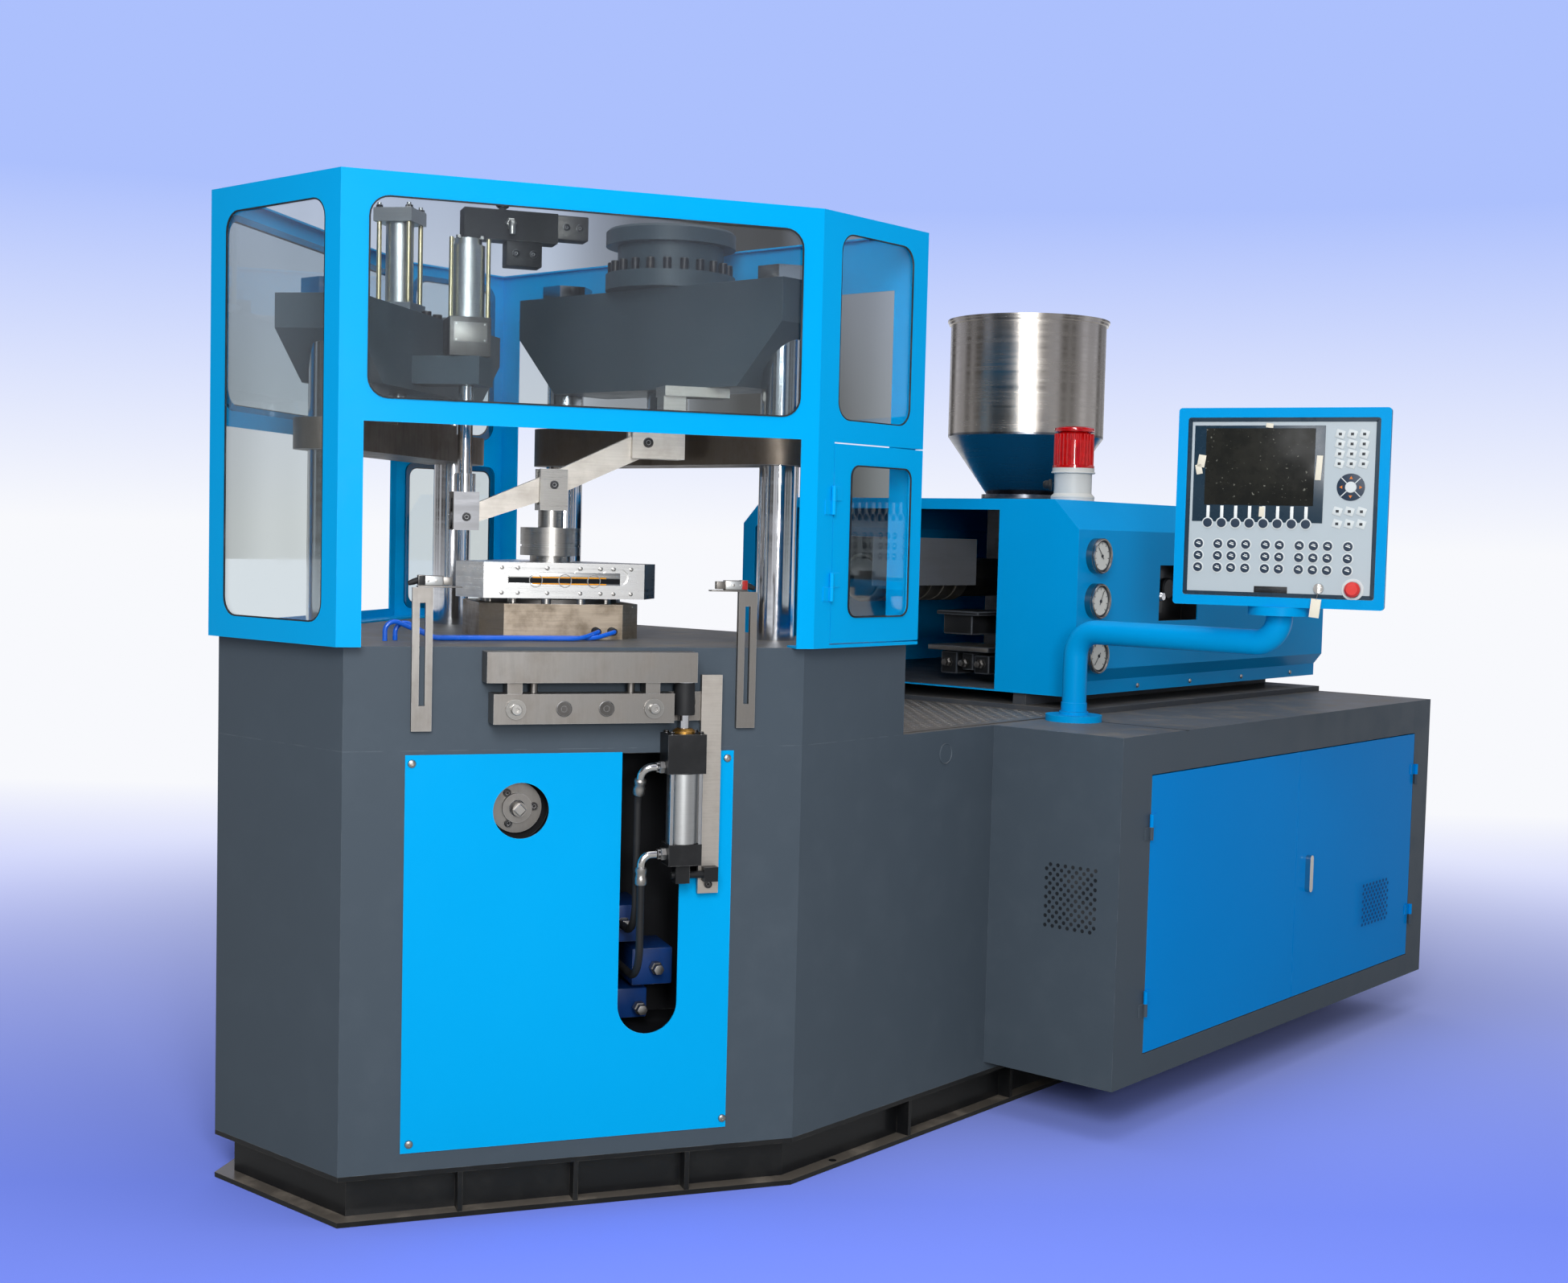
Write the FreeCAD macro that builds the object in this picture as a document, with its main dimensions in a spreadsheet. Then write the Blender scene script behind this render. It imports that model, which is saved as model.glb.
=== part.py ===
import FreeCAD, Part
import math
import os
import re
import Sketcher
from FreeCAD import Placement, Rotation, Vector

# One-step three-station injection blow moulding machine, in millimetres.
# The origin is the floor-level centre of the four anchor holes. Y runs along the machine, from the
# station table (low Y) to the injection unit (high Y). Z is up.
# The stations stand 120 degrees apart round the index axis: injection towards +Y, blowing towards
# the left front, stripping towards the right front, where the front panel is.

sizes = {
    # plan of the machine
    "nose_half": 215, "nose_front": 2090, "body_half": 692.5, "body_rear": 1257,
    "turret_x": 100, "turret_reach": 640, "guard_depth": 1184,
    "cabinet_lead": 543, "cabinet_width": 357, "seat_gap": 0.3, "slide_gap": 0.3, "pin_gap": 0.1,
    # base frame
    "base_height": 102, "base_flange": 10, "base_recess": 35, "base_web": 12, "rib_thick": 10,
    "anchor_length": 2200, "anchor_radius": 9,
    # body and table band
    "body_height": 846, "band_height": 207, "chamber_low": 330, "chamber_depth": 260,
    "chamber_side": 45, "chamber_roof": 10, "recess_depth": 60, "recess_wall": 13,
    # front panel
    "panel_left": 356, "panel_right": 325, "panel_low": 140, "panel_high": 940, "panel_thick": 3,
    "slot_left": 85, "slot_right": 262, "slot_step": 683, "slot_narrow": 127, "slot_end": 351,
    "hole_x": -123, "hole_z": 824, "hole_radius": 57,
    # drive flange behind the round hole
    "flange_radius": 52, "flange_thick": 12, "hub_radius": 30, "hub_length": 12,
    "stub_radius": 14, "stub_length": 24,
    # rear bed and deck
    "bed_lead": 164, "bed_thick": 15, "rail_half": 400, "rail_width": 40, "rail_height": 30.7,
    "rail_set": 20, "deck_thick": 3, "deck_relief": 15,
    # electric cabinet and its doors
    "cabinet_rise": 23, "cabinet_wall": 3, "cabinet_frame": 24, "door_lead": 403, "door_front": 781.5, "door_back": 764.5,
    "door_low": 190, "door_height": 660, "door_depth": 20, "door_sheet": 2, "door_rim": 15,
    "door_gap": 3, "door_lip": 15, "hinge_out": 6, "hinge_set": 8, "hinge_radius": 5,
    "hinge_height": 30, "hinge_leaf": 2.5, "hinge_reach": 22, "hinge_end": 90,
    "handle_y": 448, "handle_z": 518, "handle_length": 102, "handle_width": 22, "handle_thick": 14,
    # guard
    "guard_over": 32, "guard_blow": 7, "guard_height": 915, "guard_wall": 4, "guard_flange": 60, "guard_lip": 20,
    "opening_half": 448, "opening_high": 1592, "pane_half": 442, "pane_low": 1637,
    "pane_high": 2023, "pane_corner": 40, "pane_lap": 12, "pane_thick": 5,
    "nose_pane_left": 151, "nose_pane_right": 185, "nose_pane_low": 1200, "nose_pane_high": 2020,
    "side_pane_inset": 53, "side_pane_margin": 51, "side_pane_low": 1638, "side_pane_high": 2030,
    "gate_inset": 47, "gate_low": 1165, "gate_high": 1588, "gate_pane_inset": 102,
    "gate_pane_margin": 43, "gate_pane_low": 1219, "gate_pane_high": 1545, "gate_depth": 20,
    "left_low_inset": 40, "left_low_z": 1190, "blow_sill": 24,
    "gate_rim": 12, "gate_corner": 25, "rear_post": 60, "rear_rail": 120,
    # clamps
    "bar_half": 355, "bar_reach": 366, "bar_radius": 45, "boss_radius": 75, "nut_radius": 62,
    "nut_height": 35, "pad_half": 180,
    "injection_platen_low": 1548, "injection_platen_thick": 92, "injection_pad": 30,
    "injection_head_low": 1722, "injection_head_high": 1956, "injection_ram_radius": 50,
    "injection_ram_length": 250, "head_half": 430, "head_flat": 300, "head_slope_high": 1860,
    "head_depth_half": 90, "injection_flange": 153, "injection_waist": 125,
    "injection_flange_thick": 38, "injection_cylinder_height": 142,
    "blow_platen_low": 1545, "blow_platen_thick": 65, "blow_pad": 20, "blow_head_low": 1689,
    "blow_head_high": 1861, "blow_slope_high": 1790, "blow_ram_radius": 20, "blow_ram_length": 210,
    "blow_cap_half": 45, "blow_cap_thick": 30, "blow_barrel_radius": 31,
    "blow_cylinder_height": 239, "tie_rod_half": 35, "tie_rod_radius": 5,
    # index base, ring, head and collar
    "index_base_half": 176, "index_base_depth": 150, "index_base_height": 76,
    "index_base_chamfer": 45, "ring_radius": 150, "ring_bore": 40, "ring_thick": 12,
    "index_reach": 155, "index_half": 177, "index_thick": 76.7, "slot_half": 123, "slot_radius": 18,
    "slot_depth": 6, "seat_pitch": 64, "seat_radius": 13, "seat_proud": 4,
    "collar_radius": 66.5, "collar_neck": 45, "collar_neck_height": 14, "collar_height": 76,
    "collar_split": 34, "collar_groove": 4, "collar_bore_depth": 36, "post_radius": 28,
    "post_length": 74, "clevis_half": 30.5, "clevis_depth": 30, "clevis_floor": 12,
    "clevis_height": 92, "post_pin_rise": 57, "link_pin_radius": 10,
    # lift lever, rod, cylinder and manifold
    "lever_thick": 24, "lever_side_gap": 1, "pivot_x": 214, "pivot_z": 1593, "pivot_radius": 12,
    "lift_x": -194, "lift_pin_z": 1415, "lever_left_half": 20, "lever_mid_half": 28,
    "lever_right_half": 30, "slot_ease": 1, "mid_slot": 9, "left_slot": 15.5,
    "bracket_half": 28, "bracket_ear": 34, "bracket_height": 36, "bracket_stem": 52,
    "bracket_foot": 152, "bracket_foot_half": 40, "bracket_foot_thick": 22,
    "rod_clevis_half": 28, "rod_clevis_down": 29, "rod_clevis_up": 55, "rod_clevis_roof": 14,
    "coupling_radius": 24, "coupling_height": 40, "lift_rod_radius": 16, "lift_rod_length": 340,
    "arm_low": 1702, "arm_thick": 61, "arm_half": 45, "lift_barrel": 37, "lift_height": 257,
    "lift_cap": 30, "lift_cap_height": 15, "lift_bore_depth": 140,
    "manifold_left": 208, "manifold_right": 2, "manifold_half": 30, "manifold_height": 65,
    "eye_x": -120, "eye_ring": 14, "eye_wire": 4,
    # stripper at the front panel
    "stripper_x": -8, "stripper_front": 60, "stripper_back": 4, "low_plate_half": 185,
    "low_plate_z": 1005, "low_plate_high": 60, "spacer_height": 22, "spacer_width": 30,
    "top_plate_half": 199, "top_plate_high": 61, "guide_half": 141.5, "guide_radius": 12,
    "guide_depth": 250, "guide_cap": 20, "guide_cap_thick": 6, "port_half": 43.5,
    "port_radius": 9, "post_half": 100, "slim_post_radius": 8,
    "cylinder_x": 205, "cylinder_y": 37, "cylinder_head_half": 41, "cylinder_depth": 30,
    "cylinder_head_z": 900, "cylinder_head_high": 81, "cylinder_barrel": 32,
    "cylinder_barrel_long": 145, "tail_half": 35, "tail_high": 44, "eye_drop": 39, "eye_half": 15,
    "strip_rod_radius": 10, "strip_rod_deep": 151, "sleeve_radius": 20, "sleeve_z": 1020,
    "bracket_width": 44, "bracket_thick": 10, "bracket_low": 645, "bracket_high": 1100,
    "fitting_length": 16, "hose_radius": 8, "port_high_z": 912, "port_low_z": 733,
    "hose_x": 120, "hose_bend": 22, "hose_sweep": 70, "hose_tuck": 29, "hose_step": 72,
    "hose_shallow": 40, "head_hose_low": 560, "tail_hose_low": 470,
    # sensor bars and air hoses
    "sensor_left": -327, "sensor_right": 346, "sensor_half": 20, "sensor_thick": 12,
    "sensor_low": 988, "sensor_high": 1272, "sensor_slot": 6, "air_radius": 5,
    "air_from": 370, "air_lead": 65, "air_spread": 24, "air_rise": 50, "air_first": 290,
    "air_second": 80, "air_bow": 8, "air_run": 50, "air_back": 32, "air_climb": 12, "air_port": 106,
    "air_port_pitch": 36, "air_bend": 20, "air_curve": 40, "air_sweep": 90, "air_turn": 60,
    # injection unit
    "housing_half": 576, "housing_step": 25, "housing_step_low": 36, "housing_step_high": 69,
    "housing_height": 509, "housing_chamfer": 77, "housing_wall": 3, "housing_lead": 160,
    "housing_length": 1460, "portal_left": 530, "portal_right": 330, "portal_high": 1474,
    "portal_chamfer": 60, "side_cut_front": 262, "side_cut_back": 480, "side_cut_low": 1184,
    "side_cut_high": 1336, "barrel_radius": 55, "barrel_z": 1285, "barrel_front": 330,
    "barrel_back": 700, "nozzle_length": 50, "nozzle_radius": 18, "throat_half": 75,
    "hopper_y": 450, "throat_plate": 125, "throat_plate_thick": 17, "gearbox_half": 140,
    "gearbox_length": 310, "gearbox_low": 1140, "gearbox_high": 1430, "motor_radius": 80,
    "motor_length": 170, "cover_half": 80, "cover_low": 1265, "cover_high": 1395,
    "cover_front": 380, "cover_back": 100, "cover_sheet": 2, "cover_pin": 8,
    "hopper_outlet": 110, "hopper_flange": 10, "hopper_cone": 180, "hopper_radius": 230,
    "hopper_height": 519, "hopper_rim": 236, "hopper_rim_height": 8, "hopper_wall": 4,
    "lid_radius": 240, "lid_thick": 6, "knob_radius": 14, "knob_height": 22,
    "beacon_x": 440, "beacon_y": 20, "beacon_radius": 57.5, "beacon_height": 87,
    "lens_radius": 50, "lens_height": 105, "gauge_y": 78, "gauge_radius": 46, "gauge_depth": 20,
    "gauge_high": 1359, "gauge_mid": 1242, "gauge_low": 1100,
    # operating terminal and its arm
    "arm_inset": 298.5, "arm_lead": 279, "arm_flange_radius": 70, "arm_flange_thick": 16,
    "arm_hub_radius": 36, "arm_hub_height": 24, "spigot_radius": 20, "spigot_height": 40,
    "pipe_radius": 30, "pipe_rise": 200, "pipe_bend": 60, "arm_reach": 547,
    "terminal_lead": 290, "swivel_radius": 71, "swivel_thick": 20, "swivel_rise": 65,
    "terminal_half": 234.5, "terminal_depth": 120, "terminal_height": 449.7,
    "terminal_border": 22, "terminal_recess": 10, "terminal_plate": 6, "terminal_frame": 20,
    "terminal_inset": 40,
    "stop_x": 166, "button_z": 45, "stop_stem": 11, "stop_cap": 17, "stop_cap_thick": 16,
    "stop_stand": 6, "button_room": 14, "key_x": 92, "key_radius": 11, "key_stand": 6,
    "key_long": 22, "key_thick": 3,
}
pipeTurn = 17.0
rootThree = 1.7320508

# places that follow from the sizes above
derived = {
    "turret_lead": "(nose_front - turret_reach)",
    "guard_end": "(nose_front - guard_depth)",
    "shoulder_lead": f"(nose_front - (body_half - nose_half) * {rootThree})",
    "side_pane_front": "(shoulder_lead - side_pane_inset)",
    "side_pane_back": "(guard_end + side_pane_margin)",
    "gate_front": "(shoulder_lead - gate_inset)",
    "gate_pane_front": "(shoulder_lead - gate_pane_inset)",
    "gate_pane_back": "(guard_end + gate_pane_margin)",
    "left_low_front": "(shoulder_lead - left_low_inset)",
    "arm_x": "(body_half + cabinet_width - arm_inset)",
    "terminal_x": "(arm_x + arm_reach)",
}

doc = FreeCAD.newDocument("blow_moulding_machine")
sheet = doc.addObject("Spreadsheet::Sheet", "sizes")
for row, (alias, value) in enumerate(sizes.items(), 1):
    sheet.set(f"A{row}", alias)
    sheet.set(f"B{row}", str(value))
    sheet.setAlias(f"B{row}", alias)
doc.recompute()

bodyTop = "(base_height + body_height)"
tableTop = "(base_height + body_height + band_height)"
guardTop = f"({tableTop} + guard_height)"
shoulder = "(-shoulder_lead)"
faceX = "((nose_half + body_half) / 2)"
faceY = f"(-nose_front + (body_half - nose_half) * {rootThree} / 2)"
cabinetX = "(body_half + cabinet_width)"
guardX = "(body_half + guard_over)"
bedTop = f"({bodyTop} + bed_thick)"
housingLow = f"({bedTop} + rail_height + seat_gap)"
housingTop = f"({housingLow} + housing_height)"
housingRear = "(housing_length - housing_lead)"
ringTop = f"({tableTop} + index_base_height + ring_thick)"
headLow = f"({ringTop} + seat_gap)"
headTop = f"({headLow} + index_thick)"
collarTop = f"({headTop} + collar_height)"
postLow = f"({collarTop} - collar_bore_depth + seat_gap)"
clevisLow = f"({postLow} + post_length)"
postPinZ = f"({clevisLow} + post_pin_rise)"

# frames: the point that they turn about and the angle round the vertical
machine = (("0", "0"), 0)
inject = (("turret_x", "-turret_lead"), 0)
turret = (("turret_x", "-turret_lead"), 60)
blow = (("turret_x", "-turret_lead"), 120)
face = ((faceX, faceY), 60)
nose = (("0", "-nose_front"), 0)
right = (("body_half", "0"), 90)
leftFace = ((f"-{faceX}", faceY), -60)
left = (("-body_half", "0"), -90)
cabinet = ((cabinetX, "0"), 90)
carriage = (("turret_x", "0"), 0)
armBase = (("arm_x", "-arm_lead"), 0)
terminal = (("terminal_x", "-terminal_lead"), pipeTurn)

upright = Rotation(Vector(1, 0, 0), 90)
alongY = Rotation(Vector(1, 0, 0), -90)
alongX = Rotation(Vector(0, 1, 0), 90)
poses = {"z": None, "y": alongY, "x": alongX, "out": upright}
nodes = {}


def tied(text):
    # an expression in which each named size is read from the sheet
    def found(match):
        word = match[0]
        return "sizes." + word if word in sizes else tied(derived[word]) if word in derived else word

    return re.sub(r"[A-Za-z_]+", found, str(text))


def amount(text):
    found = sheet.evalExpression(tied(text))
    return float(getattr(found, "Value", found))


def stand(item, x="0", y="0", z="0", frame=machine, pose=None):
    (aroundX, aroundY), turn = frame
    rotation = Rotation(Vector(0, 0, 1), turn)
    if pose is not None:
        rotation = rotation.multiply(pose)
    item.Placement = Placement(Vector(), rotation)
    cosine = f"{math.cos(math.radians(turn)):.9f}"
    sine = f"{math.sin(math.radians(turn)):.9f}"
    item.setExpression("Placement.Base.x", tied(f"{aroundX} + ({x}) * {cosine} - ({y}) * {sine}"))
    item.setExpression("Placement.Base.y", tied(f"{aroundY} + ({x}) * {sine} + ({y}) * {cosine}"))
    item.setExpression("Placement.Base.z", tied(z))
    return item


def made(kind, name):
    item = doc.addObject(kind, name)
    item.Label = name
    return item


def block(name, x, y, z, length, width, height, frame=machine):
    item = made("Part::Box", name)
    item.setExpression("Length", tied(length))
    item.setExpression("Width", tied(width))
    item.setExpression("Height", tied(height))
    return stand(item, x, y, z, frame)


def drum(name, x, y, z, radius, height, frame=machine, axis="z"):
    item = made("Part::Cylinder", name)
    item.setExpression("Radius", tied(radius))
    item.setExpression("Height", tied(height))
    return stand(item, x, y, z, frame, poses[axis])


def join(name, parts):
    item = made("Part::MultiFuse", name)
    item.Shapes = parts
    item.Refine = True
    return item


def bundle(name, parts):
    item = made("Part::Compound", name)
    item.Links = parts
    return item


def carve(name, base, tools):
    item = made("Part::Cut", name)
    item.Base = base
    item.Tool = tools[0] if len(tools) == 1 else join(name + "_tools", tools)
    item.Refine = True
    return item


def newBody(name):
    return made("PartDesign::Body", name)


def drawing(body, role="XY_Plane", lift=None):
    sketch = body.newObject("Sketcher::SketchObject", body.Name + "_sketch")
    plane = [item for item in body.Origin.OriginFeatures if item.Role == role][0]
    sketch.AttachmentSupport = [(plane, "")]
    sketch.MapMode = "FlatFace"
    if lift is not None:
        sketch.setExpression("AttachmentOffset.Base.z", tied(lift))
    return sketch


def tie(sketch, rules, texts):
    # adds the constraints and ties those that have a text to the sheet
    start = sketch.ConstraintCount
    sketch.addConstraint(rules)
    for place, text in texts.items():
        sketch.setExpression(f"Constraints[{start + place}]", tied(text))


def polygon(sketch, points):
    first = sketch.GeometryCount
    count = len(points)
    spots = [Vector(amount(x), amount(y), 0) for x, y in points]
    sketch.addGeometry([Part.LineSegment(spots[k], spots[(k + 1) % count]) for k in range(count)],
                       False)
    rules = [Sketcher.Constraint("Coincident", first + k, 2, first + (k + 1) % count, 1)
             for k in range(count)]
    texts = {}
    for k, (x, y) in enumerate(points):
        texts[len(rules)] = x
        rules.append(Sketcher.Constraint("DistanceX", -1, 1, first + k, 1, spots[k].x))
        texts[len(rules)] = y
        rules.append(Sketcher.Constraint("DistanceY", -1, 1, first + k, 1, spots[k].y))
    tie(sketch, rules, texts)
    return sketch


def circle(sketch, x, y, radius):
    spot = Vector(amount(x), amount(y), 0)
    index = sketch.addGeometry(Part.Circle(spot, Vector(0, 0, 1), amount(radius)), False)
    rules = [Sketcher.Constraint("DistanceX", -1, 1, index, 3, spot.x),
             Sketcher.Constraint("DistanceY", -1, 1, index, 3, spot.y),
             Sketcher.Constraint("Radius", index, amount(radius))]
    tie(sketch, rules, {0: x, 1: y, 2: radius})
    return sketch


def rounded(sketch, left, low, rightEnd, high, corner):
    # a rectangle with round corners, its two outer corner centres tied to the sheet
    x0, y0, x1, y1, r = [amount(text) for text in (left, low, rightEnd, high, corner)]
    up = Vector(0, 0, 1)
    quarter = math.pi / 2
    centres = [(x1 - r, y0 + r, -quarter), (x1 - r, y1 - r, 0), (x0 + r, y1 - r, quarter),
               (x0 + r, y0 + r, 2 * quarter)]
    ends = [((x0 + r, y0), (x1 - r, y0)), ((x1, y0 + r), (x1, y1 - r)),
            ((x1 - r, y1), (x0 + r, y1)), ((x0, y1 - r), (x0, y0 + r))]
    shapes = []
    for (start, stop), (cx, cy, angle) in zip(ends, centres):
        shapes.append(Part.LineSegment(Vector(*start, 0), Vector(*stop, 0)))
        shapes.append(Part.ArcOfCircle(Part.Circle(Vector(cx, cy, 0), up, r), angle, angle + quarter))
    first = sketch.GeometryCount
    sketch.addGeometry(shapes, False)
    rules = []
    for k in range(4):
        line, arc, following = first + 2 * k, first + 2 * k + 1, first + (2 * k + 2) % 8
        rules.append(Sketcher.Constraint("Tangent", line, 2, arc, 1))
        rules.append(Sketcher.Constraint("Tangent", arc, 2, following, 1))
        rules.append(Sketcher.Constraint("Horizontal" if k % 2 == 0 else "Vertical", line))
    for k in range(1, 4):
        rules.append(Sketcher.Constraint("Equal", first + 1, first + 2 * k + 1))
    texts = {len(rules): corner}
    rules.append(Sketcher.Constraint("Radius", first + 1, r))
    for arc, x, y, textX, textY in (
            (first + 7, x0 + r, y0 + r, f"{left} + {corner}", f"{low} + {corner}"),
            (first + 3, x1 - r, y1 - r, f"{rightEnd} - {corner}", f"{high} - {corner}")):
        texts[len(rules)] = textX
        rules.append(Sketcher.Constraint("DistanceX", -1, 1, arc, 3, x))
        texts[len(rules)] = textY
        rules.append(Sketcher.Constraint("DistanceY", -1, 1, arc, 3, y))
    tie(sketch, rules, texts)
    return sketch


def pad(body, sketch, length):
    feature = body.newObject("PartDesign::Pad", body.Name + "_pad")
    feature.Profile = sketch
    feature.setExpression("Length", tied(length))
    return feature


def pocket(body, sketch, length, upward=True):
    # upward cuts along the sketch's normal, from the plane into the padded solid
    feature = body.newObject("PartDesign::Pocket", body.Name + "_pocket")
    feature.Profile = sketch
    feature.Reversed = upward
    feature.setExpression("Length", tied(length))
    return feature


def turned(name, points, x="0", y="0", z="0", frame=machine, axis="z"):
    # a turned piece: radius and height pairs revolved about the piece's own vertical axis
    body = newBody(name)
    sketch = polygon(drawing(body, "XZ_Plane"), points)
    feature = body.newObject("PartDesign::Revolution", name + "_turn")
    feature.Profile = sketch
    feature.ReferenceAxis = (sketch, ["V_Axis"])
    feature.Angle = 360
    return stand(body, x, y, z, frame, poses[axis])


def slab(name, left, low, rightEnd, high, corner, depth, y, frame):
    # an upright plate with round corners, its inner face at y and its outer face depth further out
    body = newBody(name)
    pad(body, rounded(drawing(body), left, low, rightEnd, high, corner), depth)
    return stand(body, "0", y, "0", frame, upright)


def prism(name, source, low, high):
    item = made("Part::Extrusion", name)
    item.Base = source
    item.DirMode = "Custom"
    item.Dir = Vector(0, 0, 1)
    item.Solid = True
    item.setExpression("LengthFwd", tied(high))
    item.setExpression("LengthRev", tied(f"-({low})"))
    return item


def outline(name, points):
    return polygon(made("Sketcher::SketchObject", name), points)


def inset(name, source, distance):
    item = made("Part::Offset2D", name)
    item.Source = source
    item.Join = 2
    item.setExpression("Value", tied(f"-({distance})"))
    return item


def tube(name, points, bends, radius):
    # straight runs joined by tangent arcs, the round section carried along them
    spots = [Vector(*[amount(value) for value in point]) for point in points]
    edges = []
    begin = spots[0]
    for k in range(1, len(spots) - 1):
        before = (spots[k] - spots[k - 1]).normalize()
        after = (spots[k + 1] - spots[k]).normalize()
        turn = before.getAngle(after)
        reach = bends[k - 1] * math.tan(turn / 2)
        enter = spots[k] - before * reach
        leave = spots[k] + after * reach
        side = (after - before).normalize()
        middle = spots[k] + side * (bends[k - 1] / math.cos(turn / 2) - bends[k - 1])
        edges.append(Part.LineSegment(begin, enter).toShape())
        edges.append(Part.Arc(enter, middle, leave).toShape())
        begin = leave
    edges.append(Part.LineSegment(begin, spots[-1]).toShape())
    path = Part.Wire(edges)
    size = amount(radius)
    ring = Part.Wire([Part.Circle(spots[0], spots[1] - spots[0], size).toShape()])
    item = made("Part::Feature", name)
    item.Shape = path.makePipeShell([ring], True, False)
    print(name, "volume", round(item.Shape.Volume), "expected",
          round(math.pi * size * size * path.Length), "radii", bends)
    return item


def keep(name, item):
    item.Label = name
    nodes[name] = item
    return item


# ---- base frame: recessed channel ring with stiffeners, anchor holes in its side flanges
planPoints = [("-nose_half", "-nose_front"), ("nose_half", "-nose_front"), ("body_half", shoulder),
              ("body_half", "body_rear"), ("-body_half", "body_rear"), ("-body_half", shoulder)]
plan = outline("base_plan", planPoints)
webPlan = inset("base_web_plan", plan, "base_recess")
hollowPlan = inset("base_hollow_plan", plan, "base_recess + base_web")
baseParts = [carve("base_ring", join("base_channel", [
    prism("base_foot", plan, "0", "base_flange"),
    prism("base_cap", plan, "base_height - base_flange", "base_height"),
    prism("base_wall", webPlan, "0", "base_height")]),
    [prism("base_hollow", hollowPlan, "-1", "base_height + 1")])]
ribHeight = "base_height - base_flange"
for k in (1, 2, 3):
    for tag, frame in (("face", face), ("blow", leftFace)):
        baseParts.append(block(f"{tag}_rib{k}", f"(body_half - nose_half) * ({k} - 2) / 2", "1",
                               "base_flange / 2", "rib_thick", "base_recess", ribHeight, frame))
for k in (1, 2, 3, 4, 5):
    for tag, x in (("left", "-body_half + 1"), ("right", "body_half - base_recess - 1")):
        baseParts.append(block(f"{tag}_rib{k}", x,
                               f"{shoulder} + (body_rear - {shoulder}) * {k} / 6", "base_flange / 2",
                               "base_recess", "rib_thick", ribHeight))
anchorX = "(body_half - base_recess / 2)"
anchors = [drum(f"anchor_hole{k}", f"{sign} * {anchorX}", f"{way} * anchor_length / 2", "-1",
                "anchor_radius", "base_flange + 2")
           for k, (sign, way) in enumerate(((1, 1), (1, -1), (-1, 1), (-1, -1)))]
keep("base_frame", carve("base_frame", join("base_weldment", baseParts), anchors))

# ---- machine body with the chamber behind the keyhole slot and the recess behind the round hole
bodyShell = newBody("body_block")
pad(bodyShell, polygon(drawing(bodyShell), [
    ("-nose_half", "-nose_front"), ("nose_half", "-nose_front"), ("body_half", shoulder),
    ("body_half", "body_rear"), ("-body_half", "body_rear"), ("-body_half", shoulder)]),
    "body_height")
stand(bodyShell, z="base_height")
keep("main_body", carve("main_body", bodyShell, [
    block("chamber", "slot_left - chamber_side", "-1", "chamber_low",
          "slot_right - slot_left + 2 * chamber_side", "chamber_depth + 1",
          f"{bodyTop} - chamber_roof - chamber_low", face),
    drum("recess", "hole_x", "-1", "hole_z", "hole_radius + recess_wall", "recess_depth + 1", face,
         "y")]))

# ---- table band, bored for the two stripper guide rods
bandBlock = newBody("band_block")
pad(bandBlock, polygon(drawing(bandBlock), [
    ("-nose_half", "-nose_front"), ("nose_half", "-nose_front"), ("body_half", shoulder),
    ("body_half", "-guard_end"), ("-body_half", "-guard_end"), ("-body_half", shoulder)]),
    "band_height")
stand(bandBlock, z=bodyTop)
guideZ = "(low_plate_z + low_plate_high / 2)"
keep("table_band", carve("table_band", bandBlock, [
    drum(f"guide_bore{k}", f"stripper_x + {sign} * guide_half", "-1", guideZ,
         "guide_radius + slide_gap", "guide_depth + 20", face, "y")
    for k, sign in enumerate((-1, 1))]))

# ---- front panel with the keyhole slot, open at the top, and the round hole
panel = newBody("front_panel")
pad(panel, polygon(drawing(panel), [
    ("-panel_left", "panel_low"), ("panel_right", "panel_low"), ("panel_right", "panel_high"),
    ("slot_right", "panel_high"), ("slot_right", "slot_step"),
    ("slot_left + slot_narrow", "slot_step"), ("slot_left + slot_narrow", "slot_end + slot_narrow / 2"),
    ("slot_left", "slot_end + slot_narrow / 2"), ("slot_left", "panel_high"),
    ("-panel_left", "panel_high")]), "panel_thick")
pocket(panel, circle(drawing(panel), "slot_left + slot_narrow / 2", "slot_end + slot_narrow / 2",
                     "slot_narrow / 2"), "panel_thick")
pocket(panel, circle(drawing(panel), "hole_x", "hole_z", "hole_radius"), "panel_thick")
keep("front_panel", stand(panel, frame=face, pose=upright))

# ---- drive flange with its shaft stub, seated at the bottom of the recess
keep("shaft_flange", turned("shaft_flange", [
    ("0", "0"), ("flange_radius", "0"), ("flange_radius", "flange_thick"),
    ("hub_radius", "flange_thick"), ("hub_radius", "flange_thick + hub_length"),
    ("stub_radius", "flange_thick + hub_length"),
    ("stub_radius", "flange_thick + hub_length + stub_length"),
    ("0", "flange_thick + hub_length + stub_length")], "hole_x", "recess_depth", "hole_z", face, "out"))

# ---- rear bed with two rails for the injection unit, and the tread deck in front of it
bedParts = [block("bed_plate", "-body_half", "-bed_lead", bodyTop, "2 * body_half",
                  "body_rear + bed_lead", "bed_thick")]
for k, sign in enumerate((-1, 1)):
    bedParts.append(block(f"bed_rail{k}", f"{sign} * rail_half - rail_width / 2",
                          "-bed_lead + rail_set", bodyTop, "rail_width",
                          "body_rear + bed_lead - 2 * rail_set",
                          "bed_thick + rail_height", carriage))
keep("rear_bed", join("rear_bed", bedParts))
keep("chequer_deck", block("chequer_deck", "-body_half", "-guard_end", bodyTop,
                           "2 * body_half - deck_relief", "guard_end - bed_lead", "deck_thick"))

# ---- electric cabinet, hung on the body's right side: sheet box with a folded door frame and two doors
cabinetLow = "(base_height + cabinet_rise)"
doorEnd = "(-door_lead + door_front + door_gap + door_back)"
doorLength = "(door_front + door_gap + door_back)"


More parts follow.
